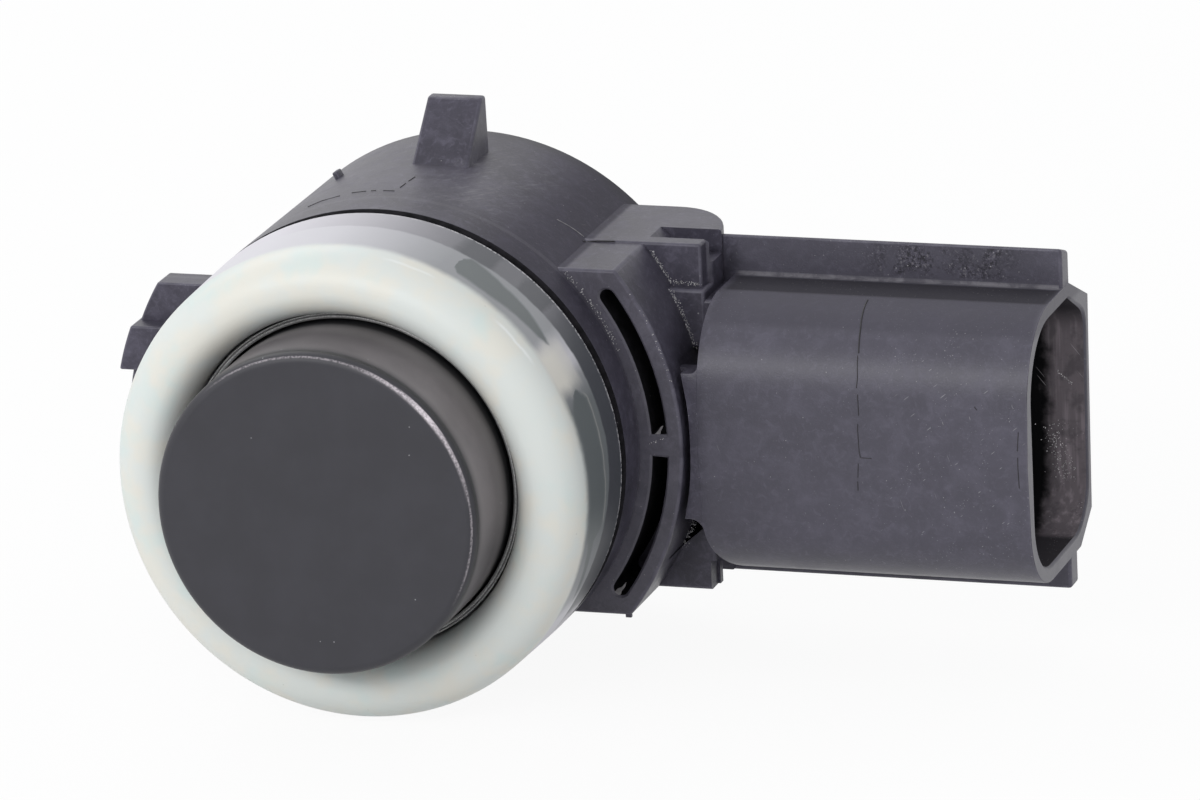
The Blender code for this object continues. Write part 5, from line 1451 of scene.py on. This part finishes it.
# Name, material, tone, roughness, metal, grain and streak; a name that ends in _ stands for two or three
INSIDE = (
    ("absorber_pad", "absorber_felt", (0.20, 0.19, 0.17), 0.9, 0.0, 0.06),
    ("circuit_board", "board_laminate", (0.03, 0.12, 0.05), 0.45, 0.0, 0.12, 0.3),
    ("contact_carrier", "carrier_plastic", (0.06, 0.06, 0.065), 0.5, 0.0, 0.1),
    ("contact_pin_", "pin_tin_", (0.72, 0.7, 0.66), 0.3, 1.0, 0.06, 0.05),
    ("cup_cushion", "cushion_foam", (0.12, 0.12, 0.125), 0.85, 0.0, 0.08),
    ("damping_plug", "damping_silicone", (0.35, 0.33, 0.3), 0.5, 0.0, 0.2),
    ("driver_chip", "chip_resin", (0.03, 0.03, 0.032), 0.6, 0.0, 0.05),
    ("filter_capacitor", "can_aluminium", (0.75, 0.76, 0.78), 0.32, 1.0, 0.05, 0.06),
    ("piezo_disc", "piezo_silver", (0.7, 0.68, 0.62), 0.4, 1.0, 0.04),
    ("piezo_lead_a", "lead_enamel_a", (0.4, 0.05, 0.04), 0.4, 0.0, 0.06),
    ("piezo_lead_b", "lead_enamel_b", (0.03, 0.03, 0.03), 0.4, 0.0, 0.06),
    ("ceramic_capacitor_", "ceramic_body_", (0.45, 0.33, 0.2), 0.5, 0.0, 0.04),
    ("resistor_", "resistor_body_", (0.05, 0.05, 0.06), 0.5, 0.0, 0.04),
    ("timing_crystal", "crystal_can", (0.7, 0.68, 0.62), 0.3, 1.0, 0.05, 0.05),
    ("transformer_bobbin", "bobbin_plastic", (0.16, 0.15, 0.14), 0.5, 0.0, 0.08),
    ("transformer_core", "ferrite_grey", (0.08, 0.08, 0.085), 0.55, 0.0, 0.06),
    ("transformer_winding", "winding_copper", (0.55, 0.24, 0.12), 0.35, 0.8, 0.06, 0.08),
    ("terminal_", "terminal_tin_", (0.72, 0.7, 0.67), 0.32, 1.0, 0.05, 0.06),
)


class SENSOR_OT_inside(bpy.types.Operator):
    """Give each piece that stays as a solid its own finish"""
    bl_idname = "sensor.inside"
    bl_label = "Pieces inside"

    def execute(self, context):
        for name, material, *words in INSIDE:
            for ending in ("a", "b", "c") if name.endswith("_") else ("",):
                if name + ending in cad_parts:
                    painted(name + ending, plain_finish(material + ending, *words))
        return {"FINISHED"}


class SENSOR_OT_cover(bpy.types.Operator):
    """Give the rear cover its plastic"""
    bl_idname = "sensor.cover"
    bl_label = "Rear cover"

    def execute(self, context):
        painted("rear_cover", moulded_plastic("cover_plastic", (0.05, 0.052, 0.062), 0.8))
        return {"FINISHED"}


# Stage

def add_area(name, power, size, place, target):
    """A rectangular softbox of this size, turned to its target."""
    light = bpy.data.lights.new(name, "AREA")
    light.energy = power
    light.shape = "RECTANGLE"
    light.size, light.size_y = size
    item = bpy.data.objects.new(name, light)
    item.location = place
    item.rotation_euler = (Vector(target) - Vector(place)).to_track_quat("-Z", "Y").to_euler()
    bpy.context.scene.collection.objects.link(item)


def seen_directly(finish):
    """One for what the camera sees straight, in a mirror or through glass."""
    rays = [finish.node("ShaderNodeLightPath", output=name)
            for name in ("Is Camera Ray", "Is Glossy Ray", "Is Transmission Ray")]
    return rays[0] | rays[1] | rays[2]


class SENSOR_OT_stage(bpy.types.Operator):
    """Set the floor, the soft lights and the camera"""
    bl_idname = "sensor.stage"
    bl_label = "Studio"

    def execute(self, context):
        settings = context.scene.sensor_stage
        scene = context.scene
        scene.view_settings.view_transform = "Standard"
        low = CAD_BOX[0][2]
        corners = [(x, y, low) for x, y in ((-3.0, -3.0), (3.0, -3.0), (3.0, 3.0), (-3.0, 3.0))]
        floor = add_mesh("floor", corners, [(0, 1, 2, 3)])
        white = (1.0, 1.0, 1.0, 1.0)
        finish = Finish("floor_white")
        tone = finish.mix(finish.noise(20.0), (0.82, 0.82, 0.82), (0.86, 0.86, 0.86))
        diffuse = finish.node("ShaderNodeBsdfDiffuse", None, {"Color": tone})
        glow = finish.node("ShaderNodeEmission", None, {"Color": white, "Strength": 1.0})
        share = seen_directly(finish) * (1.0 - settings.shadow)
        surface = finish.node("ShaderNodeMixShader", None, {0: share, 1: diffuse, 2: glow})
        finish.node("ShaderNodeOutputMaterial", None, {"Surface": surface})
        dressed(floor, finish.material)

        scene.world = bpy.data.worlds.new("studio")
        sky = Finish("studio", scene.world)
        even, bright = [sky.node("ShaderNodeBackground", None, {"Color": tone, "Strength": strength})
                        for tone, strength in (((0.97, 0.98, 1.0, 1.0), settings.fill), (white, 1.0))]
        surface = sky.node("ShaderNodeMixShader", None, {0: seen_directly(sky), 1: even, 2: bright})
        sky.node("ShaderNodeOutputWorld", None, {"Surface": surface})

        add_area("front_softbox", settings.key, (0.34, 0.08), (-0.13, -0.34, 0.20), (0.01, 0.012, 0.0))
        add_area("rear_softbox", 0.5 * settings.key, (0.30, 0.22), (-0.22, 0.24, 0.30), (0.005, 0.012, 0.0))

        azimuth, elevation, roll = [math.radians(angle) for angle in
                                    (CAMERA_AZIMUTH, CAMERA_ELEVATION, CAMERA_ROLL)]
        back = Vector((math.sin(azimuth) * math.cos(elevation), -math.cos(azimuth) * math.cos(elevation),
                       math.sin(elevation)))
        level = Vector((math.cos(azimuth), math.sin(azimuth), 0.0))
        plumb = back.cross(level)
        right = level * math.cos(roll) + plumb * math.sin(roll)
        up = plumb * math.cos(roll) - level * math.sin(roll)
        place = right * CAMERA_PLACE[0] + up * CAMERA_PLACE[1] + back * CAMERA_PLACE[2]
        lens = bpy.data.cameras.new("camera")
        lens.lens = CAMERA_LENS
        lens.sensor_width = CAMERA_SENSOR
        lens.clip_start = CAMERA_NEAR
        camera = bpy.data.objects.new("camera", lens)
        rows = [(right[axis], up[axis], back[axis], place[axis]) for axis in range(3)]
        camera.matrix_world = Matrix(rows + [(0.0, 0.0, 0.0, 1.0)])
        scene.collection.objects.link(camera)
        scene.camera = camera
        return {"FINISHED"}


class SENSOR_PT_panel(bpy.types.Panel):
    """The sensor's settings and the buttons that make its pieces"""
    bl_idname = "SENSOR_PT_panel"
    bl_label = "Parking sensor"
    bl_space_type = "VIEW_3D"
    bl_region_type = "UI"
    bl_category = "Sensor"

    def draw(self, context):
        scene = context.scene
        rows = ((scene.sensor_housing, ("edge", "colour", "dust", "wear"),
                 (SENSOR_OT_housing, SENSOR_OT_marks, SENSOR_OT_cover)),
                (scene.sensor_ring, ("teeth", "milky", "dark"), (SENSOR_OT_crown, SENSOR_OT_ring)),
                (scene.sensor_cup, ("edge", "colour"), (SENSOR_OT_cup, SENSOR_OT_collar, SENSOR_OT_inside)),
                (scene.sensor_stage, ("key", "fill", "shadow"), (SENSOR_OT_stage,)))
        for settings, names, operators in rows:
            box = self.layout.box()
            for name in names:
                box.prop(settings, name)
            for operator in operators:
                box.operator(operator.bl_idname)


CLASSES = (
    HousingSettings, RingSettings, CupSettings, StageSettings,
    SENSOR_OT_stage, SENSOR_OT_housing, SENSOR_OT_marks, SENSOR_OT_crown, SENSOR_OT_ring, SENSOR_OT_cup,
    SENSOR_OT_collar, SENSOR_OT_cover, SENSOR_OT_inside, SENSOR_PT_panel,
)


def register():
    for entry in CLASSES:
        bpy.utils.register_class(entry)
    bpy.types.Scene.sensor_housing = bpy.props.PointerProperty(type=HousingSettings)
    bpy.types.Scene.sensor_ring = bpy.props.PointerProperty(type=RingSettings)
    bpy.types.Scene.sensor_cup = bpy.props.PointerProperty(type=CupSettings)
    bpy.types.Scene.sensor_stage = bpy.props.PointerProperty(type=StageSettings)


def unregister():
    for name in ("sensor_stage", "sensor_cup", "sensor_ring", "sensor_housing"):
        delattr(bpy.types.Scene, name)
    for entry in reversed(CLASSES):
        bpy.utils.unregister_class(entry)


def main():
    register()
    for operator in (bpy.ops.sensor.stage, bpy.ops.sensor.housing, bpy.ops.sensor.marks,
                     bpy.ops.sensor.crown, bpy.ops.sensor.ring, bpy.ops.sensor.cup,
                     bpy.ops.sensor.collar, bpy.ops.sensor.cover, bpy.ops.sensor.inside):
        operator()


if __name__ == "__main__":
    main()
